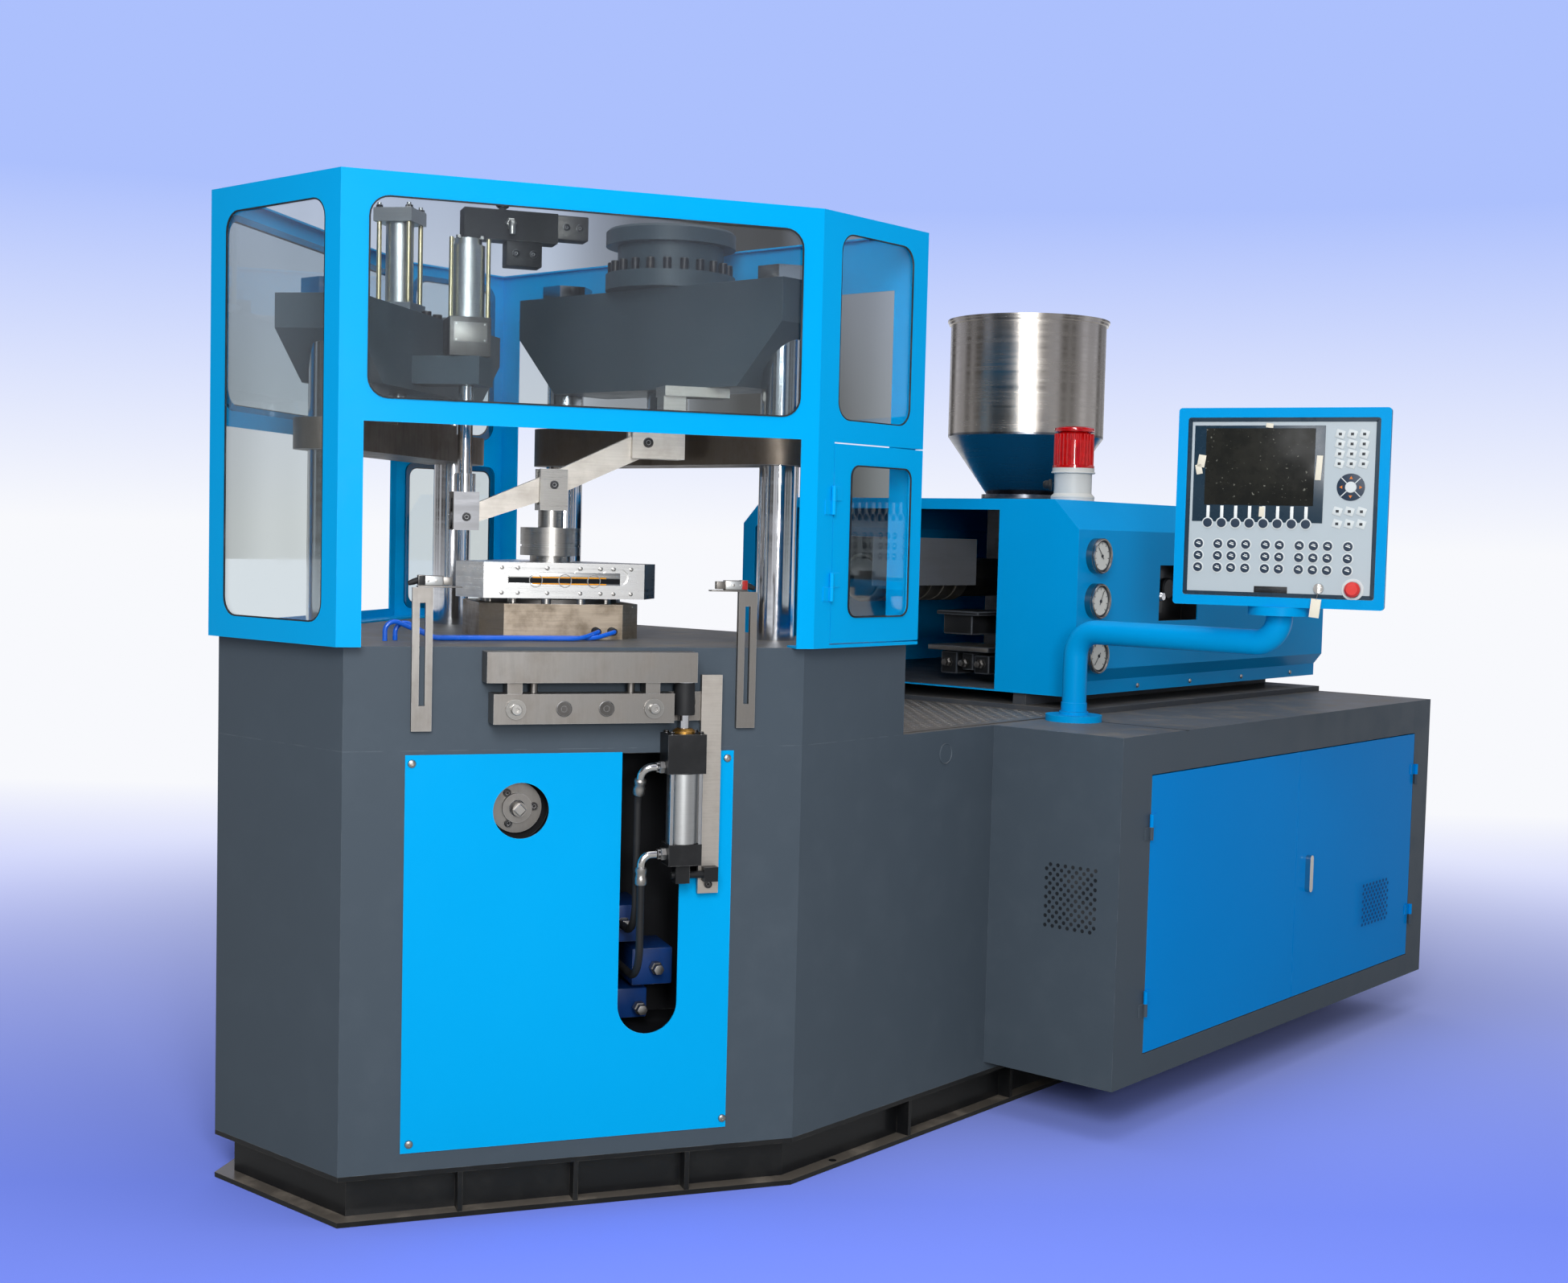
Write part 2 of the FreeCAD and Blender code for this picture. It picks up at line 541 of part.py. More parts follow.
def hingeSet(name, x, y, low, high, way):
    # fixed and moving halves of two hinges; way is +1 where the door lies on the high-Y side
    fixed = []
    moving = []
    for k, z in enumerate((f"{low} + hinge_end", f"{high} - hinge_end - 2 * hinge_height")):
        leafY = f"{y} - hinge_reach" if way > 0 else y
        doorY = y if way > 0 else f"{y} - hinge_reach - hinge_set"
        padY = f"{y} + hinge_set + 1" if way > 0 else f"{y} - hinge_reach - hinge_set"
        fixed.append(drum(f"{name}_fixed{k}", f"{x} + hinge_out", y, z, "hinge_radius",
                          "hinge_height - seat_gap"))
        fixed.append(block(f"{name}_wing{k}", x, leafY, z, "hinge_leaf", "hinge_reach",
                           "hinge_height - seat_gap"))
        moving.append(drum(f"{name}_moving{k}", f"{x} + hinge_out", y, f"{z} + hinge_height",
                           "hinge_radius", "hinge_height"))
        moving.append(block(f"{name}_leaf{k}", f"{x} + seat_gap", doorY, f"{z} + hinge_height",
                            "hinge_leaf", "hinge_reach + hinge_set", "hinge_height"))
        moving.append(block(f"{name}_pad{k}", f"{x} - 1", padY, f"{z} + hinge_height",
                            "hinge_leaf", "hinge_reach - 1", "hinge_height"))
    return fixed, moving


doorHigh = "(door_low + door_height)"
frontFixed, frontMoving = hingeSet("front_hinge", cabinetX, "(-door_lead - hinge_set)", "door_low",
                                   doorHigh, 1)
backFixed, backMoving = hingeSet("back_hinge", cabinetX, f"({doorEnd} + hinge_set)", "door_low",
                                 doorHigh, -1)
cabinetBox = carve("cabinet_shell", block(
    "cabinet_block", "body_half", "-cabinet_lead", cabinetLow, "cabinet_width",
    "body_rear + cabinet_lead", f"{bodyTop} - {cabinetLow}"), [
    block("cabinet_hollow", "body_half + cabinet_wall", "-cabinet_lead + cabinet_wall",
          f"{cabinetLow} + cabinet_wall", "cabinet_width - cabinet_wall - cabinet_frame",
          "body_rear + cabinet_lead - 2 * cabinet_wall",
          f"{bodyTop} - {cabinetLow} - 2 * cabinet_wall"),
    block("door_rebate", f"{cabinetX} - door_depth - seat_gap", "-door_lead - door_gap",
          "door_low - door_gap", "door_depth + seat_gap + 1", f"{doorLength} + 2 * door_gap",
          "door_height + 2 * door_gap"),
    block("door_mouth", f"{cabinetX} - cabinet_frame - 1", "-door_lead + door_lip",
          "door_low + door_lip", "cabinet_frame + 2", f"{doorLength} - 2 * door_lip",
          "door_height - 2 * door_lip")])
keep("electric_cabinet", join("electric_cabinet", [cabinetBox] + frontFixed + backFixed))


def cabinetDoor(name, start, width, extras):
    body = newBody(name + "_pan")
    pad(body, polygon(drawing(body), [
        (start, "door_low"), (f"{start} + {width}", "door_low"), (f"{start} + {width}", doorHigh),
        (start, doorHigh)]), "door_depth")
    pocket(body, polygon(drawing(body), [
        (f"{start} + door_rim", "door_low + door_rim"),
        (f"{start} + {width} - door_rim", "door_low + door_rim"),
        (f"{start} + {width} - door_rim", f"{doorHigh} - door_rim"),
        (f"{start} + door_rim", f"{doorHigh} - door_rim")]), "door_depth - door_sheet")
    stand(body, "0", "door_depth", "0", cabinet, upright)
    return keep(name, join(name, [body] + extras))


cabinetDoor("cabinet_door_front", "(-door_lead)", "door_front", frontMoving)
cabinetDoor("cabinet_door_rear", "(-door_lead + door_front + door_gap)", "door_back", backMoving)
handle = newBody("door_handle")
pad(handle, rounded(drawing(handle), "-handle_width / 2", "-handle_length / 2", "handle_width / 2",
                    "handle_length / 2", "handle_width / 2 - 1"), "handle_thick")
keep("door_handle", stand(handle, "handle_y", "-seat_gap", "handle_z", cabinet, upright))

# ---- guard: folded sheet round the stations, with its panes and the side door
overNose = "(-nose_front - guard_over)"
guardPoints = [
    ("-nose_half + (guard_over / 2 - guard_blow) * 1.1547005", overNose),
    ("nose_half + guard_over * 0.5773503", overNose),
    (guardX, f"{shoulder} - guard_over * 0.2679492"), (guardX, "-guard_end"),
    ("-body_half - guard_blow", "-guard_end"),
    ("-body_half - guard_blow",
     f"-nose_front + (body_half - nose_half + guard_blow) * {rootThree} - 2 * guard_blow")]
guardPlan = outline("guard_plan", guardPoints)
guardInner = inset("guard_inner", guardPlan, "guard_wall")
guardFoot = inset("guard_foot", guardPlan, "guard_flange")
guardLip = inset("guard_lip_line", guardPlan, "guard_lip")
gateFixed, gateMoving = hingeSet("gate_hinge", guardX, "(-gate_front - hinge_set)", "gate_low",
                                 "gate_high", 1)
guardSheet = carve("guard_sheet", prism("guard_block", guardPlan, tableTop, guardTop), [
    prism("guard_space", guardInner, f"{tableTop} + guard_wall", f"{guardTop} - guard_wall"),
    prism("guard_well", guardFoot, f"{tableTop} - 1", f"{tableTop} + guard_wall + 1"),
    prism("guard_mouth", guardLip, f"{guardTop} - guard_wall - 1", f"{guardTop} + 1"),
    block("front_opening", "-opening_half", "-guard_over - 10", f"{tableTop} - 1",
          "2 * opening_half", "guard_over + 50", f"opening_high - {tableTop} + 1", face),
    slab("front_pane_cut", "-pane_half", "pane_low", "pane_half", "pane_high", "pane_corner",
         "guard_wall + 20", "-guard_over + guard_wall + 10", face),
    slab("nose_pane_cut", "-nose_pane_left", "nose_pane_low", "nose_pane_right", "nose_pane_high",
         "pane_corner", "guard_wall + 20", "-guard_over + guard_wall + 10", nose),
    slab("side_pane_cut", "-side_pane_front", "side_pane_low", "-side_pane_back", "side_pane_high",
         "pane_corner", "guard_wall + 20", "-guard_over + guard_wall + 10", right),
    slab("blow_pane_cut", "-pane_half", "pane_low", "pane_half", "pane_high", "pane_corner",
         "guard_wall + 20", "-guard_blow + guard_wall + 10", leftFace),
    slab("left_pane_cut", "side_pane_back", "side_pane_low", "side_pane_front", "side_pane_high",
         "pane_corner", "guard_wall + 20", "-guard_blow + guard_wall + 10", left),
    slab("left_low_cut", "gate_pane_back", "left_low_z", "left_low_front", "gate_pane_high",
         "gate_corner", "guard_wall + 20", "-guard_blow + guard_wall + 10", left),
    block("blow_opening", "-opening_half", "-guard_blow - 10", f"{tableTop} + blow_sill",
          "2 * opening_half", "guard_flange + 30", f"opening_high - {tableTop} - blow_sill", leftFace),
    block("gate_cut", "-gate_front - door_gap", "-guard_over - 10", "gate_low - door_gap",
          "gate_front - guard_end + door_gap + 10", "gate_depth + 11",
          "gate_high - gate_low + 2 * door_gap", right),
    block("rear_opening", "-body_half + rear_post", "-guard_end - guard_flange - 10",
          f"{tableTop} - 1", "2 * body_half - 2 * rear_post", "guard_flange + 20",
          "guard_height - rear_rail")])
keep("guard_frame", join("guard_frame", [guardSheet] + gateFixed))
paneY = "-guard_over + guard_wall + pane_thick"
leftPaneY = "-guard_blow + guard_wall + pane_thick"
keep("front_window", bundle("front_window", [
    slab(f"{tag}_pane", "-pane_half - pane_lap", "pane_low - pane_lap", "pane_half + pane_lap",
         "pane_high + pane_lap", "pane_corner", "pane_thick", depth, frame)
    for tag, depth, frame in (("front", paneY, face), ("blow", leftPaneY, leftFace))]))
keep("nose_window", slab("nose_window", "-nose_pane_left - pane_lap", "nose_pane_low - pane_lap",
                         "nose_pane_right + pane_lap", "nose_pane_high + pane_lap", "pane_corner",
                         "pane_thick", paneY, nose))
keep("right_window", bundle("right_window", [
    slab("right_pane", "-side_pane_front - pane_lap", "side_pane_low - pane_lap",
         "-side_pane_back + pane_lap", "side_pane_high + pane_lap", "pane_corner", "pane_thick",
         paneY, right),
    slab("left_pane", "side_pane_back - pane_lap", "side_pane_low - pane_lap",
         "side_pane_front + pane_lap", "side_pane_high + pane_lap", "pane_corner", "pane_thick",
         leftPaneY, left),
    slab("left_low_pane", "gate_pane_back - pane_lap", "left_low_z - pane_lap",
         "left_low_front + pane_lap", "gate_pane_high + pane_lap", "gate_corner", "pane_thick",
         leftPaneY, left)]))
gate = newBody("gate_pan")
pad(gate, polygon(drawing(gate), [
    ("-gate_front", "gate_low"), ("-guard_end", "gate_low"), ("-guard_end", "gate_high"),
    ("-gate_front", "gate_high")]), "gate_depth")
pocket(gate, polygon(drawing(gate), [
    ("-gate_front + gate_rim", "gate_low + gate_rim"), ("-guard_end - gate_rim", "gate_low + gate_rim"),
    ("-guard_end - gate_rim", "gate_high - gate_rim"), ("-gate_front + gate_rim", "gate_high - gate_rim")]),
    "gate_depth - guard_wall")
pocket(gate, rounded(drawing(gate), "-gate_pane_front", "gate_pane_low", "-gate_pane_back",
                     "gate_pane_high", "gate_corner"), "gate_depth")
stand(gate, "0", "-guard_over + gate_depth", "0", right, upright)
keep("guard_door", join("guard_door", [gate] + gateMoving))
keep("guard_door_window", slab("guard_door_window", "-gate_pane_front - pane_lap",
                               "gate_pane_low - pane_lap", "-gate_pane_back + pane_lap",
                               "gate_pane_high + pane_lap", "gate_corner", "pane_thick", paneY,
                               right))


# ---- clamps: tie bars, moving platen, fixed head, ram and cylinder on each of two stations
def clamp(name, frame, headPoints, headExtras, headCuts):
    platenLow, thick, padHeight = f"{name}_platen_low", f"{name}_platen_thick", f"{name}_pad"
    headLowZ, headHighZ = f"{name}_head_low", f"{name}_head_high"
    ramRadius = f"{name}_ram_radius"
    bars = []
    for k, sign in enumerate((-1, 1)):
        x = f"{sign} * bar_half"
        bar = drum(f"{name}_bar{k}", x, "bar_reach", tableTop, "bar_radius",
                   f"{headHighZ} - {tableTop} + 1", frame)
        nut = made("Part::Prism", f"{name}_nut{k}")
        nut.Polygon = 6
        nut.setExpression("Circumradius", tied("nut_radius"))
        nut.setExpression("Height", tied("nut_height"))
        stand(nut, x, "bar_reach", headHighZ, frame)
        bars.append(join(f"{name}_bar_nut{k}", [bar, nut]))
    keep(f"{name}_tie_bars", bundle(f"{name}_tie_bars", bars))
    bosses = [drum(f"{name}_boss{k}", f"{sign} * bar_half", "bar_reach", platenLow, "boss_radius",
                   thick, frame) for k, sign in enumerate((-1, 1))]
    platen = join(f"{name}_platen_block", bosses + [
        block(f"{name}_platen_bar", "-bar_half", "bar_reach - boss_radius", platenLow,
              "2 * bar_half", "2 * boss_radius", thick, frame),
        block(f"{name}_platen_pad", "-pad_half", "bar_reach - boss_radius", platenLow,
              "2 * pad_half", "2 * boss_radius", f"{thick} + {padHeight}", frame)])
    keep(f"{name}_platen", carve(f"{name}_platen", platen, [
        drum(f"{name}_bush{k}", f"{sign} * bar_half", "bar_reach", f"{platenLow} - 1",
             "bar_radius + slide_gap", f"{thick} + {padHeight} + 2", frame)
        for k, sign in enumerate((-1, 1))]))
    casting = newBody(f"{name}_casting")
    pad(casting, polygon(drawing(casting), headPoints), "2 * head_depth_half")
    stand(casting, "0", "bar_reach + head_depth_half", "0", frame, upright)
    tools = [drum(f"{name}_seat{k}", f"{sign} * bar_half", "bar_reach", f"{headLowZ} - 1",
                  "bar_radius + pin_gap", f"{headHighZ} - {headLowZ} + 2", frame)
             for k, sign in enumerate((-1, 1))]
    tools.append(drum(f"{name}_ram_bore", "0", "bar_reach", f"{headLowZ} - 1",
                      f"{ramRadius} + slide_gap", f"{headHighZ} - {headLowZ} + 2", frame))
    base = join(f"{name}_head_block", [casting] + headExtras) if headExtras else casting
    keep(f"{name}_head", carve(f"{name}_head", base, tools + headCuts))
    keep(f"{name}_ram", drum(f"{name}_ram", "0", "bar_reach",
                             f"{platenLow} + {thick} + {padHeight}", ramRadius,
                             f"{name}_ram_length", frame))


clamp("injection", inject, [
    ("-head_half", "head_slope_high"), ("-head_flat", "injection_head_low"),
    ("head_flat", "injection_head_low"), ("head_half", "head_slope_high"),
    ("head_half", "injection_head_high"), ("-head_half", "injection_head_high")], [], [])
# the blowing head's arm carries the lift cylinder
armY = "(-lift_x * 0.8660254)"
clamp("blow", blow, [
    ("-head_half", "blow_slope_high"), ("-head_flat", "blow_head_low"),
    ("head_flat", "blow_head_low"), ("head_half", "blow_slope_high"),
    ("head_half", "blow_head_high"), ("-head_half", "blow_head_high")],
    [block("lift_arm", "lift_x / 2 - arm_half", f"{armY} - arm_half", "arm_low", "2 * arm_half",
           f"bar_reach - head_depth_half + arm_half - {armY} + 1", "arm_thick", blow)],
    [drum("arm_bore", "lift_x", "0", "arm_low - 1", "lift_rod_radius + slide_gap", "arm_thick + 2",
          turret)])
flangeThick = "injection_flange_thick"
keep("injection_cylinder", turned("injection_cylinder", [
    ("0", "0"), ("injection_flange", "0"), ("injection_flange", flangeThick),
    ("injection_waist", flangeThick),
    ("injection_waist", f"injection_cylinder_height - {flangeThick}"),
    ("injection_flange", f"injection_cylinder_height - {flangeThick}"),
    ("injection_flange", "injection_cylinder_height - 6"),
    ("injection_flange - 6", "injection_cylinder_height"), ("0", "injection_cylinder_height")],
    "0", "bar_reach", "injection_head_high", inject))
capLow = "-blow_cap_half"
blowParts = [
    drum("blow_barrel", "0", "bar_reach", "blow_head_high", "blow_barrel_radius",
         "blow_cylinder_height", blow),
    block("blow_cap_foot", capLow, "bar_reach - blow_cap_half", "blow_head_high",
          "2 * blow_cap_half", "2 * blow_cap_half", "blow_cap_thick", blow),
    block("blow_cap_top", capLow, "bar_reach - blow_cap_half",
          "blow_head_high + blow_cylinder_height - blow_cap_thick", "2 * blow_cap_half",
          "2 * blow_cap_half", "blow_cap_thick", blow)]
for k, (signX, signY) in enumerate(((-1, -1), (1, -1), (1, 1), (-1, 1))):
    blowParts.append(drum(f"tie_rod{k}", f"{signX} * tie_rod_half",
                          f"bar_reach + {signY} * tie_rod_half", "blow_head_high + 1",
                          "tie_rod_radius", "blow_cylinder_height + 11", blow))
keep("blow_cylinder", join("blow_cylinder", blowParts))

# ---- index base, ring, three-sided head and collar
base = newBody("index_base")
corner = "index_base_chamfer"
half, deep = "index_base_half", "index_base_depth"
pad(base, polygon(drawing(base), [
    (f"-{half}", f"-{deep} + {corner}"), (f"-{half} + {corner}", f"-{deep}"),
    (f"{half} - {corner}", f"-{deep}"), (half, f"-{deep} + {corner}"),
    (half, f"{deep} - {corner}"), (f"{half} - {corner}", deep), (f"-{half} + {corner}", deep),
    (f"-{half}", f"{deep} - {corner}")]), "index_base_height")
keep("index_base", stand(base, z=tableTop, frame=turret))
keep("index_ring", turned("index_ring", [
    ("ring_bore", "0"), ("ring_radius", "0"), ("ring_radius", "ring_thick - 3"),
    ("ring_radius - 3", "ring_thick"), ("ring_bore", "ring_thick")],
    z=f"{tableTop} + index_base_height", frame=turret))
headPoints = []
for k in range(3):
    ux, uy = math.sin(math.radians(120 * k)), -math.cos(math.radians(120 * k))
    for sign in (-1, 1):
        headPoints.append((f"index_reach * {ux:.9f} - {sign} * index_half * {uy:.9f}",
                           f"index_reach * {uy:.9f} + {sign} * index_half * {ux:.9f}"))
headBody = newBody("index_block")
pad(headBody, polygon(drawing(headBody), headPoints), "index_thick")
stand(headBody, z=headLow, frame=turret)
slotZ = f"({headLow} + index_thick * 0.62)"
slotTools = []
seats = []
for k in range(3):
    side = (("turret_x", "-turret_lead"), 60 + 120 * k)
    slotTools.append(block(f"core_slot{k}", "-slot_half", "-index_reach - 1",
                           f"{slotZ} - slot_radius", "2 * slot_half", "slot_depth + 1",
                           "2 * slot_radius", side))
    for end, sign in enumerate((-1, 1)):
        slotTools.append(drum(f"core_slot{k}_end{end}", f"{sign} * slot_half", "-index_reach - 1",
                              slotZ, "slot_radius", "slot_depth + 1", side, "y"))
    for seat in range(4):
        seats.append(drum(f"core_seat{k}_{seat}", f"seat_pitch * ({seat} - 1.5)",
                          "-index_reach + slot_depth - seat_proud", slotZ, "seat_radius",
                          "seat_proud + 1", side, "y"))
keep("index_head", join("index_head", [carve("index_slotted", headBody, slotTools)] + seats))
bore = "post_radius + slide_gap"
keep("index_collar", turned("index_collar", [
    ("0", "0"), ("collar_neck", "0"), ("collar_neck", "collar_neck_height"),
    ("collar_radius", "collar_neck_height"), ("collar_radius", "collar_split"),
    ("collar_radius - 3", "collar_split"), ("collar_radius - 3", "collar_split + collar_groove"),
    ("collar_radius", "collar_split + collar_groove"), ("collar_radius", "collar_height"),
    (bore, "collar_height"), (bore, "collar_height - collar_bore_depth"),
    ("0", "collar_height - collar_bore_depth")], z=headTop, frame=turret))

# ---- lift linkage: post under the lever's middle, lever, bracket at its right end, rod at its left
yoke = carve("post_yoke", join("post_block", [
    drum("post_round", "0", "0", postLow, "post_radius", "post_length + 1", turret),
    block("post_clevis", "-clevis_half", "-clevis_depth", clevisLow, "2 * clevis_half",
          "2 * clevis_depth", "clevis_height", turret)]), [
    block("post_slot", "-clevis_half - 1", "-lever_thick / 2 - lever_side_gap",
          f"{clevisLow} + clevis_floor", "2 * clevis_half + 2", "lever_thick + 2 * lever_side_gap",
          "clevis_height", turret)])
keep("lift_post", join("lift_post", [
    yoke, drum("post_pin", "0", "-clevis_depth", postPinZ, "link_pin_radius", "2 * clevis_depth",
               turret, "y")]))
lever = newBody("lever_plate")
pad(lever, polygon(drawing(lever), [
    ("lift_x", "lift_pin_z - lever_left_half"), ("0", f"{postPinZ} - lever_mid_half"),
    ("pivot_x", "pivot_z - lever_right_half"), ("pivot_x", "pivot_z + lever_right_half"),
    ("0", f"{postPinZ} + lever_mid_half"), ("lift_x", "lift_pin_z + lever_left_half")]),
    "lever_thick")
stand(lever, "0", "lever_thick / 2", "0", turret, upright)
leverY = "-lever_thick / 2"
leverBlank = join("lever_blank", [
    lever, drum("lever_left", "lift_x", leverY, "lift_pin_z", "lever_left_half", "lever_thick",
                turret, "y"),
    drum("lever_right", "pivot_x", leverY, "pivot_z", "lever_right_half", "lever_thick", turret, "y")])
easeRadius = "link_pin_radius + slot_ease"
leverCuts = [drum("lever_eye", "pivot_x", f"{leverY} - 1", "pivot_z", "pivot_radius + pin_gap",
                  "lever_thick + 2", turret, "y")]
for tag, x, z, long in (("mid", "0", postPinZ, "mid_slot"),
                        ("left", "lift_x", "lift_pin_z + 0.4", "left_slot")):
    leverCuts += [
        drum(f"{tag}_slot_start", x, f"{leverY} - 1", z, easeRadius, "lever_thick + 2", turret, "y"),
        drum(f"{tag}_slot_stop", f"{x} + {long}", f"{leverY} - 1", z, easeRadius,
             "lever_thick + 2", turret, "y"),
        block(f"{tag}_slot_run", x, f"{leverY} - 1", f"{z} - {easeRadius}", long, "lever_thick + 2",
              f"2 * ({easeRadius})", turret)]
keep("lift_lever", carve("lift_lever", leverBlank, leverCuts))
stemX = "pivot_x + bracket_ear"
earLow = "(pivot_z - bracket_height)"
footLow = "(injection_head_low - bracket_foot_thick)"
bracket = carve("bracket_yoke", join("bracket_block", [
    block("bracket_ears", "pivot_x - bracket_height", "-bracket_half", earLow,
          "bracket_height + bracket_ear + 1", "2 * bracket_half", "2 * bracket_height", turret),
    block("bracket_stem_bar", stemX, "-bracket_half", earLow, "bracket_stem", "2 * bracket_half",
          f"{footLow} - {earLow} + 1", turret),
    block("bracket_foot_plate", stemX, "-bracket_foot_half", footLow, "bracket_foot",
          "2 * bracket_foot_half", "bracket_foot_thick", turret)]), [
    block("bracket_slot", "pivot_x - bracket_height - 1", "-lever_thick / 2 - lever_side_gap",
          f"{earLow} - 1", "bracket_height + bracket_ear + 1",
          "lever_thick + 2 * lever_side_gap", "2 * bracket_height + 2", turret)])
keep("lever_bracket", join("lever_bracket", [
    bracket, drum("pivot_pin", "pivot_x", "-bracket_half", "pivot_z", "pivot_radius",
                  "2 * bracket_half", turret, "y")]))
rodYokeLow = "lift_pin_z - rod_clevis_down"
rodYoke = carve("rod_yoke", block(
    "rod_clevis", "lift_x - rod_clevis_half", "-clevis_depth", rodYokeLow,
    "2 * rod_clevis_half", "2 * clevis_depth", "rod_clevis_down + rod_clevis_up", turret), [
    block("rod_slot", "lift_x - rod_clevis_half - 1", "-lever_thick / 2 - lever_side_gap",
          f"{rodYokeLow} - 1", "2 * rod_clevis_half + 2", "lever_thick + 2 * lever_side_gap",
          "rod_clevis_down + rod_clevis_up - rod_clevis_roof + 1", turret)])
couplingLow = "lift_pin_z + rod_clevis_up"
keep("lift_rod", join("lift_rod", [
    rodYoke,
    drum("rod_pin", "lift_x", "-clevis_depth", "lift_pin_z", "link_pin_radius", "2 * clevis_depth",
         turret, "y"),
    drum("rod_coupling", "lift_x", "0", f"{couplingLow} - 1", "coupling_radius",
         "coupling_height + 1", turret),
    drum("rod_round", "lift_x", "0", couplingLow, "lift_rod_radius",
         "coupling_height + lift_rod_length", turret)]))
liftFoot = "arm_low + arm_thick"
liftBore = "lift_rod_radius + slide_gap"
keep("lift_cylinder", turned("lift_cylinder", [
    (liftBore, "0"), ("lift_barrel", "0"), ("lift_barrel", "lift_height - lift_cap_height"),
    ("lift_cap", "lift_height - lift_cap_height"), ("lift_cap", "lift_height"),
    ("0", "lift_height"), ("0", "lift_bore_depth"), (liftBore, "lift_bore_depth")],
    "lift_x", "0", liftFoot, turret))
manifoldLow = f"({liftFoot} + lift_height)"
eye = made("Part::Torus", "eye_ring")
eye.setExpression("Radius1", tied("eye_ring"))
eye.setExpression("Radius2", tied("eye_wire"))
stand(eye, "eye_x", "0", f"{manifoldLow} + manifold_height + eye_ring + eye_wire + 4", turret, upright)
keep("valve_manifold", join("valve_manifold", [
    block("manifold_block", "-manifold_left", "-manifold_half", manifoldLow,
          "manifold_left - manifold_right", "2 * manifold_half", "manifold_height", turret),
    drum("eye_stem", "eye_x", "0", f"{manifoldLow} + manifold_height - 1", "2 * eye_wire", "8",
         turret), eye]))

# ---- stripper: sliding lower plate on two guide rods, lifting top plate, cylinder and hoses
plateY = "-stripper_front"
plateDeep = "stripper_front - stripper_back"
plateMid = "(-(stripper_front + stripper_back) / 2)"
spacerTop = "(low_plate_z + low_plate_high + spacer_height)"
barX = "(cylinder_x + cylinder_head_half)"
lowParts = [
    block("low_plate", "stripper_x - low_plate_half", plateY, "low_plate_z", "2 * low_plate_half",
          plateDeep, "low_plate_high", face),
    block("low_arm", "stripper_x", "-stripper_back - bracket_thick", "low_plate_z",
          f"{barX} + bracket_width - stripper_x", "bracket_thick", "low_plate_high", face)]
for k, sign in enumerate((-1, 1)):
    lowParts.append(block(f"spacer{k}", f"stripper_x + {sign} * guide_half - spacer_width / 2",
                          f"{plateY} + 8", "low_plate_z + low_plate_high - 1", "spacer_width",
                          f"{plateDeep} - 16", "spacer_height + 1", face))
lowCuts = []
for k, sign in enumerate((-1, 1)):
    lowCuts += [
        drum(f"post_bore{k}", f"stripper_x + {sign} * post_half", plateMid, "low_plate_z - 1",
             "slim_post_radius + slide_gap", "low_plate_high + 2", face),
        drum(f"guide_seat{k}", f"stripper_x + {sign} * guide_half", f"{plateY} - 1", guideZ,
             "guide_radius + pin_gap", f"{plateDeep} + 2", face, "y"),
        drum(f"air_port{k}", f"stripper_x + {sign} * port_half", f"{plateY} - 1", guideZ,
             "port_radius", f"{plateDeep} + 2", face, "y")]
keep("stripper_carriage", carve("stripper_carriage", join("low_blank", lowParts), lowCuts))
guides = []
for k, sign in enumerate((-1, 1)):
    x = f"stripper_x + {sign} * guide_half"
    guides.append(join(f"guide_rod{k}", [
        drum(f"guide_shaft{k}", x, plateY, guideZ, "guide_radius", "stripper_front + guide_depth",
             face, "y"),
        drum(f"guide_head{k}", x, f"{plateY} - guide_cap_thick", guideZ, "guide_cap",
             "guide_cap_thick", face, "y")]))
keep("stripper_guides", bundle("stripper_guides", guides))
topParts = [block("top_plate", "stripper_x - top_plate_half", plateY, spacerTop,
                  "cylinder_x + sleeve_radius + top_plate_half - stripper_x", plateDeep,
                  "top_plate_high", face)]
for k, sign in enumerate((-1, 1)):
    topParts.append(drum(f"slim_post{k}", f"stripper_x + {sign} * post_half", plateMid,
                         "low_plate_z + 0.5", "slim_post_radius",
                         "low_plate_high + spacer_height", face))
keep("stripper_top_plate", join("stripper_top_plate", topParts))
cylinderTop = "(cylinder_head_z + cylinder_head_high)"
barrelLow = "(cylinder_head_z - cylinder_barrel_long)"
headX = "cylinder_x - cylinder_head_half"
tailX = "cylinder_x - tail_half"
eyePinZ = f"({barrelLow} - tail_high - eye_drop * 0.6)"
